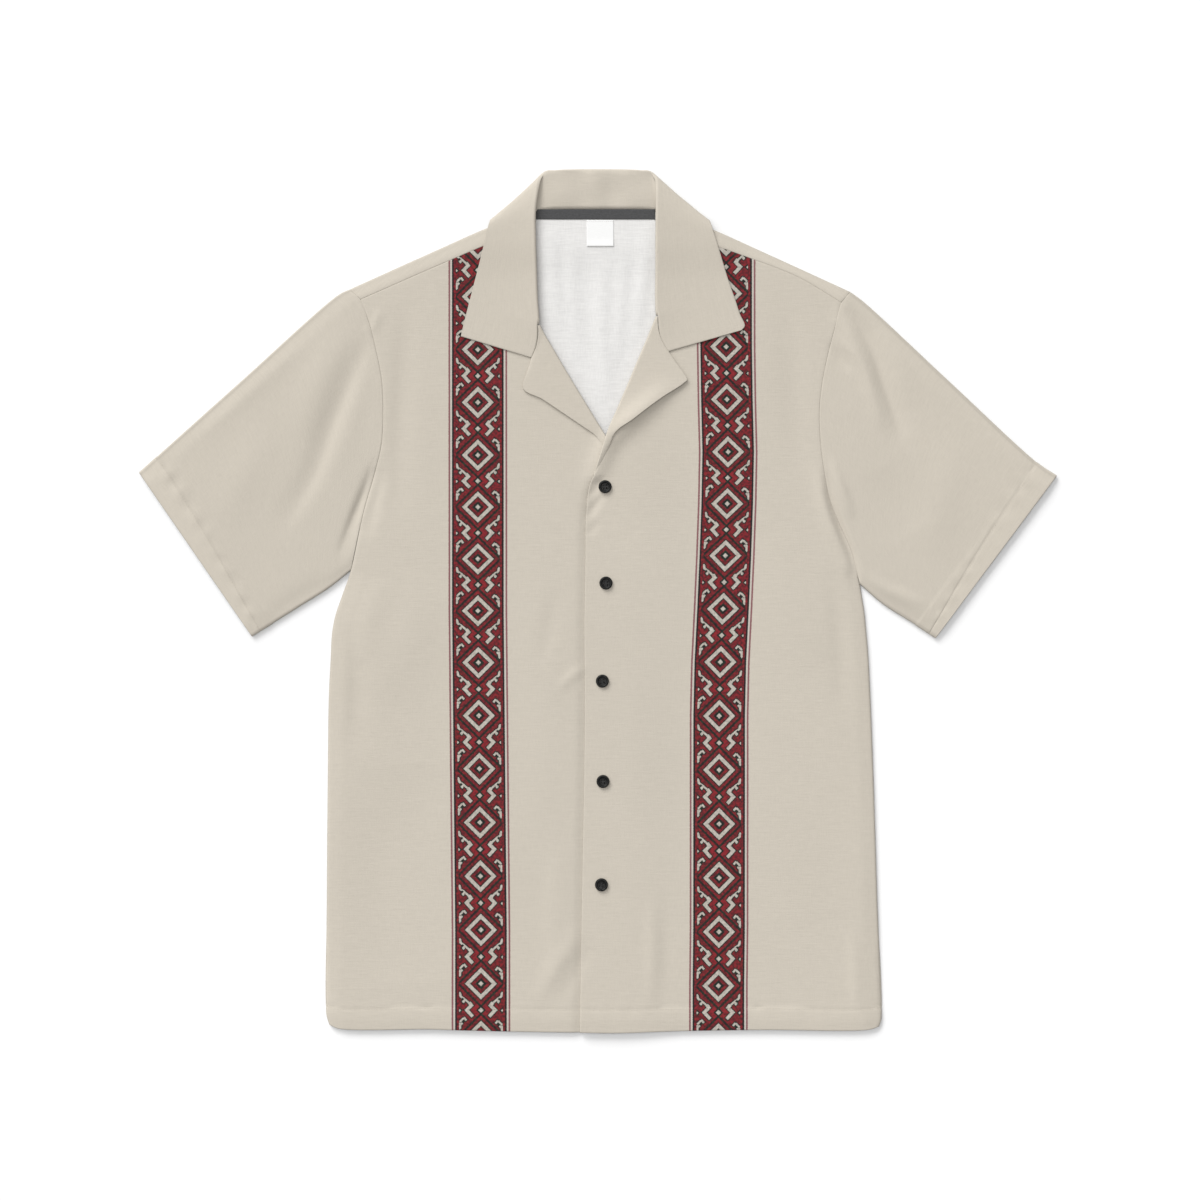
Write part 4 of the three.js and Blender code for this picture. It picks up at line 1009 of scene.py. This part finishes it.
def sleeve(name, node, side, underarm, tip, outward, top, under, armhole_dip):
    """A sleeve, closed into a tube. Returns the places of its cuff's stitches, above and below."""
    def clear(points):
        return np.asarray(points, float) + [outward * ARMHOLE_GAP, 0]

    armhole = along(clear(np.vstack([side[underarm:], [tip]])[::-1]))
    upper_edge = along(np.vstack([clear(top[:1]), top[1:]]))
    under_edge = along(np.vstack([clear(under[:1]), under[1:]]))
    cuff = along([top[-1], under[-1]])
    length = upper_edge.length
    lengthwise = shares(length, 3.2, also=[length - line for line in reversed(HEM_LINES)])
    inset = SLEEVE_ROLL
    width = armhole.length
    across = shares(width, 3.2, start=[inset, 2.6, 4.2], end=[inset, 2.6, 4.2])
    across = across[(across * width >= inset) & (across * width <= width - inset)]
    flat = patch(upper_edge, under_edge, armhole, cuff, across, lengthwise)
    x, y = flat[..., 0], flat[..., 1]
    edge = np.minimum(across, 1 - across)[None, :] * np.linspace(width, cuff.length, len(lengthwise))[:, None]
    rise = smooth(edge / EDGE_ROUNDING)
    from_body = lengthwise[:, None] * length
    to_cuff = (1 - lengthwise[:, None]) * length
    near_cuff = np.exp(-(((to_cuff - HEM_DEPTH) / 8) ** 2))
    pucker = CUFF_PUCKER * near_cuff * np.sin(edge / 3.1 + 1.8 * np.sin(edge / 17)) * np.sin(edge / 41 + 0.6)
    detail = folds(x, y) * smooth(to_cuff / 40 + 0.45) + pucker
    upper = mix(BACK_LEVEL + 2 * SLEEVE_ROLL, FRONT_LEVEL, rise) + detail * rise
    body = front_level(x[:1], y[:1])
    upper = mix(mix(upper, np.broadcast_to(body, upper.shape), rise), upper, smooth(from_body / 12))
    upper = np.maximum(upper, BACK_LEVEL + 1.0)
    upper = upper - dip(from_body, armhole_dip)
    upper = upper - dip(np.abs(to_cuff - HEM_DEPTH), HEM_GROOVE, HEM_GROOVE_WIDTH)
    lift = np.minimum(crease_height(x, y, SLEEVE_UNDER_CREASES), upper - BACK_LEVEL - 1.3)
    under_side = BACK_LEVEL + np.maximum(lift, 0) * rise * smooth(to_cuff / 40 - 0.6)
    direction = np.stack([flat[:, 1] - flat[:, 0], flat[:, -2] - flat[:, -1]], 1)
    direction /= np.linalg.norm(direction, axis=-1, keepdims=True)

    def turn(column, which, angles):
        radius = (upper[:, column] - BACK_LEVEL) / 2
        ring = []
        for angle in np.radians(angles):
            xy = flat[:, column] - direction[:, which] * (radius * math.cos(angle))[:, None]
            ring.append(np.column_stack([xy, BACK_LEVEL + radius * (1 + math.sin(angle))])[:, None])
        return np.hstack(ring)

    ring = np.hstack([
        with_height(flat, upper), turn(-1, 1, TURN_ANGLES),
        with_height(flat, under_side)[:, ::-1], turn(0, 0, TURN_ANGLES[::-1])])
    around = np.concatenate([across * width, across[-1] * width + np.arange(1, 6) * 0.5,
                             width + 3 + (1 - across[::-1]) * width, 2 * width + 3 + np.arange(1, 6) * 0.5])
    uv = np.dstack(np.broadcast_arrays(around[None, :], lengthwise[:, None] * length))
    tone = sleeve_hem_tone_and_painted_shade(edge, to_cuff)
    if outward < 0:
        ring, uv, tone = ring[:, ::-1], uv[:, ::-1], tone[:, ::-1]

    def reach(points):
        a, b = cuff(0.0), cuff(1.0)
        away = np.abs(np.cross(b - a, points[:, :2] - a)) / np.linalg.norm(b - a)
        return CLOTH / 2 + np.where((away < HEM_DEPTH) & (points[:, 2] > BACK_LEVEL + 1), HEM_STEP, 0)

    piece = shell(name, ring, CLOTH, [MATERIALS["cloth"], MATERIALS["inside"]], uv, closed=True,
                  reach=reach, hem=tone)
    finish_piece(piece, node)
    return cuff_seam(stitch_line(ring, lengthwise * length, length - HEM_STITCH_AT))


LEAF_LENGTH = 70
LEAF_STEPS = shares(LEAF_LENGTH, 3.0, start=[1.5])


def turned_over(stations, radius, roll_level, seam_level, leaf_level, stand_steps, away, bow, stand, sag=2.6):
    """Rows of a piece that turns over at a roll: from the seam up to it, round it, and out to the edge.

    stations has roll (rx, ry), edge (ex, ey), seam (nx, ny) and turn for each row. Where stand is
    under 1, the row has only its leaf, which comes down from the roll to the seam as stand drops."""
    roll, edge, seam = stations[:, 0:2], stations[:, 2:4], stations[:, 4:6]
    lean = np.radians(stations[:, 6])
    across = np.column_stack([-away[:, 1], away[:, 0]])
    across *= np.sign(np.sum(across * (seam - roll), axis=1, keepdims=True))
    normal = np.column_stack([across * np.cos(lean)[:, None], np.sin(lean)])
    away3 = np.column_stack([away, np.zeros(len(away))])
    centre = np.column_stack([roll + away * radius[:, None], roll_level])
    rows = []
    first = centre + normal * radius[:, None]
    start = np.column_stack([seam, seam_level])
    for t in stand_steps:
        rows.append(mix(start, first, t))
    for angle in np.radians([-90, -60, -30, 0, 30, 60, 90]):
        back_by, down_by = radius * math.cos(angle), radius * math.sin(angle)
        rows.append(centre - away3 * back_by[:, None] - normal * down_by[:, None])
    for row in rows[:-1]:
        row[stand < 1] = np.nan
    begin = rows[-1]
    flat_start = np.column_stack([roll, leaf_level(roll[:, 0], roll[:, 1])])
    begin = mix(flat_start, begin, stand[:, None])
    rows[-1] = begin
    run = edge - begin[:, :2]
    run = run / np.linalg.norm(run, axis=1, keepdims=True)
    sideways = np.column_stack([-run[:, 1], run[:, 0]])
    above = begin[:, 2] - leaf_level(begin[:, 0], begin[:, 1])
    for t in LEAF_STEPS:
        xy = mix(begin[:, :2], edge, t) + sideways * (bow * math.sin(math.pi * t))[:, None]
        z = leaf_level(xy[:, 0], xy[:, 1]) + above * (1 - t) ** sag
        rows.append(np.column_stack([xy, z]))
    return np.stack(rows, 1)


def station_steps(stations, spacing, also=()):
    moved = np.linalg.norm(np.diff(stations[:, :2], axis=0), axis=1)
    moved = moved + np.linalg.norm(np.diff(stations[:, 2:4], axis=0), axis=1)
    params = np.concatenate([[0], np.cumsum(moved / 2)])
    return params, shares(params[-1], spacing, also=[params[i] for i in also]) * params[-1]


def painted_leaf_edge_shade(grid, at):
    """Painted shade: a darker line along the outer edge of a leaf and along its two short ends."""
    tone = np.zeros(grid.shape[:2])
    tone[:, -len(LEAF_STEPS):] = painted_edge_shade((1 - LEAF_STEPS) * LEAF_LENGTH)
    return np.minimum(tone, painted_edge_shade(np.minimum(at, at[-1] - at))[:, None])


def stand_wave(x, y):
    """The soft dents of the collar's stand."""
    return np.sin(x / 6.5 + 1.2 * np.sin(x / 17) + y / 14) * 0.6 + 0.4 * np.sin(x / 13 - y / 9 + 1.0)


def collar():
    stations = np.vstack([LEFT_COLLAR, RIGHT_COLLAR[::-1]])
    gorge_rows = 3
    last_row = len(stations) - 1 - gorge_rows
    params, at = station_steps(stations, 2.6, also=[gorge_rows, last_row])
    fine = spline(params, stations, at)
    high = np.clip(fine[:, 7], 0, 1)
    into_gorge = np.maximum(params[gorge_rows] - at, at - params[last_row])
    gorge_length = np.where(at < params[gorge_rows], params[gorge_rows], params[-1] - params[last_row])
    stand = np.where(into_gorge < 1e-4, 1.0, 0.999 * np.clip(1 - into_gorge / gorge_length, 0, 1) ** 1.6)
    seam_front = front_level(fine[:, 4], fine[:, 5])
    away = fine[:, 2:4] - fine[:, 0:2]
    away /= np.linalg.norm(away, axis=1, keepdims=True)
    gap = (CLOTH + COLLAR_WALL) / 2 + 0.35

    def leaf_level(x, y):
        return mix(FALL_LEVEL, front_level(x, y) + gap, high)

    grid = turned_over(
        fine, mix(COLLAR_ROLL_BACK, COLLAR_ROLL_FRONT, high),
        mix(FALL_LEVEL + COLLAR_ROLL_BACK, seam_front + COLLAR_ROLL_FRONT, high),
        mix(back_level(fine[:, 4], fine[:, 5]), seam_front, high),
        leaf_level, np.linspace(0, 1, 11)[:-1], away, np.zeros(len(fine)), stand)
    behind = (1 - high)[:, None] * np.sin(np.pi * np.linspace(0, 1, 12))
    grid[:, :12, 2] += STAND_RIPPLE * behind * stand_wave(grid[:, :12, 0], grid[:, :12, 1])
    depth = np.concatenate([np.linspace(0, 34, 10), np.linspace(35, 39, 7), 40 + LEAF_STEPS * 75])
    uv = np.dstack(np.broadcast_arrays(at[:, None], depth[None, :]))
    piece = shell("shirt_collar", grid, COLLAR_WALL, [MATERIALS["cloth"], MATERIALS["cloth"]], uv,
                  hem=painted_leaf_edge_shade(grid, at))
    finish_piece(piece, "collar")


def lapel(name, node, rows, level, outward, lift, fade):
    """A lapel, which lifts clear of the front in its middle and sinks into it over its last stretch, fade."""
    params, at = station_steps(rows, 2.4)
    fine = spline(params, rows, at)
    corner = np.interp(at, params, rows[:, 4])
    tangent = np.gradient(fine[:, 0:2], axis=0)
    away = np.column_stack([tangent[:, 1], -tangent[:, 0]])
    away /= np.linalg.norm(away, axis=1, keepdims=True)
    away *= np.sign(away[:, :1] * outward)
    width = np.linalg.norm(fine[:, 2:4] - fine[:, 0:2], axis=1)
    turn_in = np.minimum(LAPEL_TURN_IN, LAPEL_TURN_SHARE * width)
    seam = fine[:, 0:2] + away * turn_in[:, None]
    stations = np.column_stack([fine[:, 0:4], seam, np.full(len(fine), -90.0)])
    seam_level = np.maximum(level(fine[:, 0], fine[:, 1]), level(seam[:, 0], seam[:, 1]))
    seam_level = seam_level - LAPEL_SINK * (1 - smooth((at[-1] - at) / LAPEL_SINK_LENGTH))
    ending = smooth((at[-1] - at) / fade)
    gap = mix(-0.8, (CLOTH + LAPEL_WALL) / 2 + 0.25 + lift * np.sin(np.pi * at / at[-1]), ending)
    radius = LAPEL_ROLL * mix(0.35, 1.0, ending) + 0.4 * smooth(1 - at / 12)
    grid = turned_over(
        stations, radius, seam_level + radius, seam_level,
        lambda x, y: level(x, y) + gap, np.array([0, 0.5]), away, -outward * corner, np.ones(len(fine)),
        sag=LAPEL_SAG)
    piece = shell(name, grid, LAPEL_WALL, [MATERIALS["cloth"], MATERIALS["cloth"]], grid[..., :2].copy(),
                  hem=painted_leaf_edge_shade(grid, at) * ending[:, None])
    finish_piece(piece, node)


def trim(name, node, box, wall, material, corner=0.0):
    """A flat strip sewn inside the back. Its lower edge may lift a little, as a label's does."""
    left, right, bottom, top = box
    across = left + shares(right - left, 2.0) * (right - left)
    up = bottom + shares(top - bottom, 1.5) * (top - bottom)
    x, y = np.meshgrid(across, up)
    height = back_level(x, y) + CLOTH / 2 + wall / 2 + 0.12 + corner * smooth((bottom + 7 - y) / 7)
    grid = np.dstack([x, y, height])
    piece = shell(name, grid, wall, [material], np.dstack([x, y]))
    finish_piece(piece, node)


def trim_line(box, wall, above):
    """A line across a trim, at a height above its lower edge, on top of its wall."""
    x = np.linspace(box[0] + 0.8, box[1] - 0.8, 30)
    y = np.full_like(x, box[2] + above)
    return np.column_stack([x, y, back_level(x, y) + CLOTH / 2 + wall + 0.14])


def turned_disc(name):
    """A closed disc, turned from the button's profile."""
    profile = BUTTON_PROFILE * [BUTTON_RADIUS, 1]
    turns = np.linspace(0, 2 * math.pi, BUTTON_SEGMENTS, False)
    rings = [[(0, 0, profile[0, 1])]]
    for r, z in profile[1:-1]:
        rings.append([(r * math.cos(a), r * math.sin(a), z) for a in turns])
    rings.append([(0, 0, profile[-1, 1])])
    vertices = [tuple(c * MM for c in p) for ring in rings for p in ring]
    last = len(vertices) - 1
    after = [(i + 1) % BUTTON_SEGMENTS for i in range(BUTTON_SEGMENTS)]
    faces = [(0, 1 + k, 1 + i) for i, k in enumerate(after)]
    for ring in range(len(rings) - 3):
        low, high = 1 + ring * BUTTON_SEGMENTS, 1 + (ring + 1) * BUTTON_SEGMENTS
        faces += [(low + i, low + k, high + k, high + i) for i, k in enumerate(after)]
    top_ring = last - BUTTON_SEGMENTS
    faces += [(top_ring + i, top_ring + k, last) for i, k in enumerate(after)]
    mesh = bpy.data.meshes.new(name)
    mesh.from_pydata(vertices, [], faces)
    disc = bpy.data.objects.new(name, mesh)
    bpy.context.collection.objects.link(disc)
    return disc


def drill(disc, holes):
    """Cuts round holes through a disc that lies at the origin."""
    for hx, hy in holes:
        bpy.ops.mesh.primitive_cylinder_add(
            vertices=20, radius=HOLE_RADIUS * MM, depth=8 * MM, location=(hx * MM, hy * MM, 0))
        bit = bpy.context.object
        cut = disc.modifiers.new("hole", "BOOLEAN")
        cut.operation, cut.solver, cut.object = "DIFFERENCE", "EXACT", bit
        evaluated = disc.evaluated_get(bpy.context.evaluated_depsgraph_get())
        cut_mesh = bpy.data.meshes.new_from_object(evaluated)
        disc.modifiers.clear()
        disc.data = cut_mesh
        bpy.data.objects.remove(bit)


def button_thread(number, x, y, base, holes):
    """The thread in a button's holes, and two pairs of strands across its middle."""
    strands = [[(x + hx, y + hy, base + z) for z in (-0.2, 0.1, 0.4, 0.7)] for hx, hy in holes]
    tube(f"button_thread_in_holes_{number}", strands, 0.84, MATERIALS["dark_thread"], 12)
    strands = []
    for a, b in ((holes[0], holes[1]), (holes[2], holes[3])):
        for side in (-0.18, 0.18):
            points = []
            for t in np.linspace(0, 1, 11):
                rise = 0.95 + 0.6 * math.sin(math.pi * t) ** 0.5
                points.append((x + mix(a[0], b[0], t), y + mix(a[1], b[1], t) + side, base + rise))
            strands.append(points)
    tube(f"button_thread_{number}", strands, 0.17, MATERIALS["dark_thread"])


def button(number, x, y):
    """A four-hole button with a rounded rim round a dished middle, sewn on through its holes."""
    disc = turned_disc(f"button_disc_{number}")
    turn = math.radians(8 * math.sin(number * 2.3))
    holes = [(HOLE_SPACING * (sx * math.cos(turn) - sy * math.sin(turn)),
              HOLE_SPACING * (sx * math.sin(turn) + sy * math.cos(turn)))
             for sx, sy in ((1, 1), (-1, 1), (-1, -1), (1, -1))]
    drill(disc, holes)
    base = float(over_level(np.array([x]), np.array([y]))[0]) + CLOTH / 2 + 0.45
    co = np.zeros(len(disc.data.vertices) * 3)
    disc.data.vertices.foreach_get("co", co)
    co = co.reshape(-1, 3) + np.array([x, y, base]) * MM
    disc.data.vertices.foreach_set("co", co.ravel())
    disc.data.materials.clear()
    disc.data.materials.append(MATERIALS["button"])
    disc.data.shade_smooth()
    disc.data.set_sharp_from_angle(angle=math.radians(35))
    finish_piece(disc, f"button_{number}")
    button_thread(number, x, y, base, holes)


def tube(name, strands, radius, material, sides=8):
    """Round threads along lists of points, closed at their ends."""
    vertices, faces = [], []
    for points in strands:
        points = np.array(points, float)
        tangents = np.gradient(points, axis=0)
        tangents /= np.linalg.norm(tangents, axis=1, keepdims=True)
        upright = abs(tangents[0, 2]) > 0.9
        sideways = np.cross(tangents, [0, 1.0, 0] if upright else [0, 0, 1.0])
        sideways /= np.maximum(np.linalg.norm(sideways, axis=1, keepdims=True), 1e-9)
        upward = np.cross(sideways, tangents)
        begin = len(vertices)
        for p, s, w in zip(points, sideways, upward):
            for a in np.linspace(0, 2 * math.pi, sides, False):
                vertices.append(tuple((p + radius * (math.cos(a) * s + math.sin(a) * w)) * MM))
        for row in range(len(points) - 1):
            low = begin + row * sides
            for i in range(sides):
                k = (i + 1) % sides
                faces.append((low + i, low + k, low + sides + k, low + sides + i))
        faces.append(tuple(begin + i for i in reversed(range(sides))))
        faces.append(tuple(begin + (len(points) - 1) * sides + i for i in range(sides)))
    mesh = bpy.data.meshes.new(name)
    mesh.from_pydata(vertices, [], faces)
    mesh.materials.append(material)
    mesh.shade_smooth()
    piece = bpy.data.objects.new(name, mesh)
    bpy.context.collection.objects.link(piece)
    finish_piece(piece, None)


# Stitches

def stitch_row():
    """Nodes that lay one small stitch after another along a line."""
    tree = bpy.data.node_groups.new("stitch_row", "GeometryNodeTree")
    face = tree.interface
    face.new_socket("Geometry", in_out="INPUT", socket_type="NodeSocketGeometry")
    for label, value in (("Pitch", 0.0026), ("Length", 0.0019), ("Thickness", 0.0003)):
        face.new_socket(label, in_out="INPUT", socket_type="NodeSocketFloat").default_value = value
    face.new_socket("Seed", in_out="INPUT", socket_type="NodeSocketInt").default_value = 7
    face.new_socket("Thread", in_out="INPUT", socket_type="NodeSocketMaterial")
    face.new_socket("Geometry", in_out="OUTPUT", socket_type="NodeSocketGeometry")
    new, link = tree.nodes.new, tree.links.new
    given, made = new("NodeGroupInput"), new("NodeGroupOutput")
    curve, spaced = new("GeometryNodeMeshToCurve"), new("GeometryNodeResampleCurve")
    spaced.mode = "LENGTH"
    link(given.outputs["Geometry"], curve.inputs["Mesh"])
    link(curve.outputs["Curve"], spaced.inputs["Curve"])
    link(given.outputs["Pitch"], spaced.inputs["Length"])
    ball = new("GeometryNodeMeshUVSphere")
    ball.inputs["Segments"].default_value = 8
    ball.inputs["Rings"].default_value = 5
    ball.inputs["Radius"].default_value = 0.5
    size, shaped = new("ShaderNodeCombineXYZ"), new("GeometryNodeTransform")
    link(given.outputs["Length"], size.inputs[0])
    link(given.outputs["Thickness"], size.inputs[1])
    link(given.outputs["Thickness"], size.inputs[2])
    link(ball.outputs["Mesh"], shaped.inputs["Geometry"])
    link(size.outputs[0], shaped.inputs["Scale"])
    tangent, aligned = new("GeometryNodeInputTangent"), new("FunctionNodeAlignRotationToVector")
    aligned.axis = "X"
    link(tangent.outputs[0], aligned.inputs["Vector"])
    uneven = new("FunctionNodeRandomValue")
    uneven.data_type = "FLOAT"
    uneven.inputs[2].default_value = 0.86
    uneven.inputs[3].default_value = 1.08
    link(given.outputs["Seed"], uneven.inputs["Seed"])
    placed = new("GeometryNodeInstanceOnPoints")
    link(spaced.outputs["Curve"], placed.inputs["Points"])
    link(shaped.outputs["Geometry"], placed.inputs["Instance"])
    link(aligned.outputs["Rotation"], placed.inputs["Rotation"])
    link(uneven.outputs[1], placed.inputs["Scale"])
    real, sewn = new("GeometryNodeRealizeInstances"), new("GeometryNodeSetMaterial")
    link(placed.outputs["Instances"], real.inputs["Geometry"])
    link(real.outputs["Geometry"], sewn.inputs["Geometry"])
    link(given.outputs["Thread"], sewn.inputs["Material"])
    link(sewn.outputs["Geometry"], made.inputs["Geometry"])
    return tree


STITCH_ROW = stitch_row()


def sew(name, lines, material, pitch=2.6, length=1.9, thickness=0.3):
    """Rows of stitches along lines of places, made a plain mesh."""
    vertices, edges = [], []
    for line in lines:
        first = len(vertices)
        vertices += [tuple(place * MM) for place in np.asarray(line, float)]
        edges += [(first + i, first + i + 1) for i in range(len(line) - 1)]
    mesh = bpy.data.meshes.new(name)
    mesh.from_pydata(vertices, edges, [])
    path = bpy.data.objects.new(name, mesh)
    bpy.context.collection.objects.link(path)
    nodes = path.modifiers.new("stitches", "NODES")
    nodes.node_group = STITCH_ROW
    values = {"Pitch": pitch * MM, "Length": length * MM, "Thickness": thickness * MM, "Seed": 7,
              "Thread": material}
    for socket in STITCH_ROW.interface.items_tree:
        if socket.in_out == "INPUT" and socket.name in values:
            nodes[socket.identifier] = values[socket.name]
    evaluated = path.evaluated_get(bpy.context.evaluated_depsgraph_get())
    plain = bpy.data.meshes.new_from_object(evaluated)
    path.modifiers.remove(nodes)
    path.data = plain
    plain.shade_smooth()
    finish_piece(path, None)


# Stage, light and camera

def stage():
    nodes = Nodes("table_top", 0.9)
    coordinates = nodes.tree.nodes.new("ShaderNodeTexCoord")
    cloud = nodes.noise(nodes.scaled(coordinates.outputs["Object"], (2, 2, 2)), 1.0)
    nodes.set(nodes.shader.inputs["Base Color"], nodes.mix(cloud, (0.80, 0.80, 0.80), (0.82, 0.82, 0.82)))
    nodes.shader.inputs["Specular IOR Level"].default_value = 0.0
    mesh = bpy.data.meshes.new("table_top")
    half = 6.0
    corners = [(-half, -half, 0), (half, -half, 0), (half, half, 0), (-half, half, 0)]
    mesh.from_pydata(corners, [], [(0, 1, 2, 3)])
    mesh.materials.append(nodes.material)
    table_top = bpy.data.objects.new("table_top", mesh)
    bpy.context.collection.objects.link(table_top)


def soft_light(name, towards, spread, strength):
    """A broad, even studio light. towards is the way that its light travels."""
    light = bpy.data.lights.new(name, "SUN")
    light.angle = spread
    light.energy = strength
    lamp = bpy.data.objects.new(name, light)
    lamp.location = -2 * Vector(towards)
    lamp.rotation_euler = Vector(towards).to_track_quat("-Z", "Y").to_euler()
    bpy.context.collection.objects.link(lamp)


# Each light has the way that it travels, its spread and its strength
LIGHTS = {
    "key": ((0.40, -0.76, -0.50), 0.55, 2.72),
    "side": ((0.75, -0.30, -0.55), 0.7, 0.65),
    "overhead": ((0.05, -0.10, -1.0), 0.6, 1.10)}
SKY_STRENGTH = 0.38
CAMERA_LENS = 100
CAMERA_SENSOR = 36
VIEW_WIDTH = 1.104
VIEW_MIDDLE = (1.84, 0.92)


def light_and_camera():
    world = bpy.data.worlds.new("studio")
    bpy.context.scene.world = world
    world.use_nodes = True
    world.node_tree.nodes["Background"].inputs["Color"].default_value = (1, 1, 1, 1)
    world.node_tree.nodes["Background"].inputs["Strength"].default_value = SKY_STRENGTH
    for name, (towards, spread, strength) in LIGHTS.items():
        soft_light(name, towards, spread, strength)
    camera_data = bpy.data.cameras.new("camera")
    camera_data.lens = CAMERA_LENS
    camera_data.sensor_width = CAMERA_SENSOR
    camera = bpy.data.objects.new("camera", camera_data)
    height = VIEW_WIDTH * CAMERA_LENS / CAMERA_SENSOR
    camera.location = (VIEW_MIDDLE[0] * MM, VIEW_MIDDLE[1] * MM, height)
    bpy.context.collection.objects.link(camera)
    bpy.context.scene.camera = camera
    bpy.context.scene.view_settings.view_transform = "Standard"


light_and_camera()
stage()
back_hem = back()
hems = [
    front("shirt_front_under", (LEFT_SIDE, LEFT_INNER, LEFT_HEM, LEFT_SEAM), under_level, LEFT_BAND,
          True, "front_left"),
    front("shirt_front_over", (RIGHT_INNER, RIGHT_SIDE, RIGHT_HEM, RIGHT_SEAM[::-1]), over_level, RIGHT_BAND,
          False, "front_right")]
cuffs = (sleeve("shirt_sleeve_left", "sleeve_left", **LEFT_SLEEVE)
         + sleeve("shirt_sleeve_right", "sleeve_right", **RIGHT_SLEEVE))
collar()
lapel("shirt_lapel_under", "lapel_left", LEFT_LAPEL, front_level, -1, 0.8, 33)
lapel("shirt_lapel_over", "lapel_right", RIGHT_LAPEL, over_level, 1, 2.4, 68)
trim("shirt_neck_tape", "neck_tape", TAPE, TAPE_WALL, MATERIALS["tape"])
trim("shirt_care_label", "care_label", LABEL, LABEL_WALL, MATERIALS["label"], corner=0.5)
for index, (bx, by) in enumerate(BUTTONS):
    button(index + 1, bx, by)
sew("hem_stitches", [back_hem] + [line for before, _, after in hems for line in (before, after)],
    MATERIALS["thread"])
sew("hem_stitches_on_bands", [on_band for _, on_band, _ in hems], MATERIALS["band_thread"])
sew("cuff_stitches", cuffs, MATERIALS["thread"])
tape_height = TAPE[3] - TAPE[2]
tape_lines = [trim_line(TAPE, TAPE_WALL, 1.1), trim_line(TAPE, TAPE_WALL, tape_height - 1.4)]
sew("neck_tape_stitches", tape_lines, MATERIALS["tape_thread"], 2.2, 1.6, 0.26)
label_line = trim_line(LABEL, LABEL_WALL, LABEL[3] - LABEL[2] - 1.2)
sew("care_label_stitches", [label_line], MATERIALS["thread"], 1.8, 1.3, 0.2)
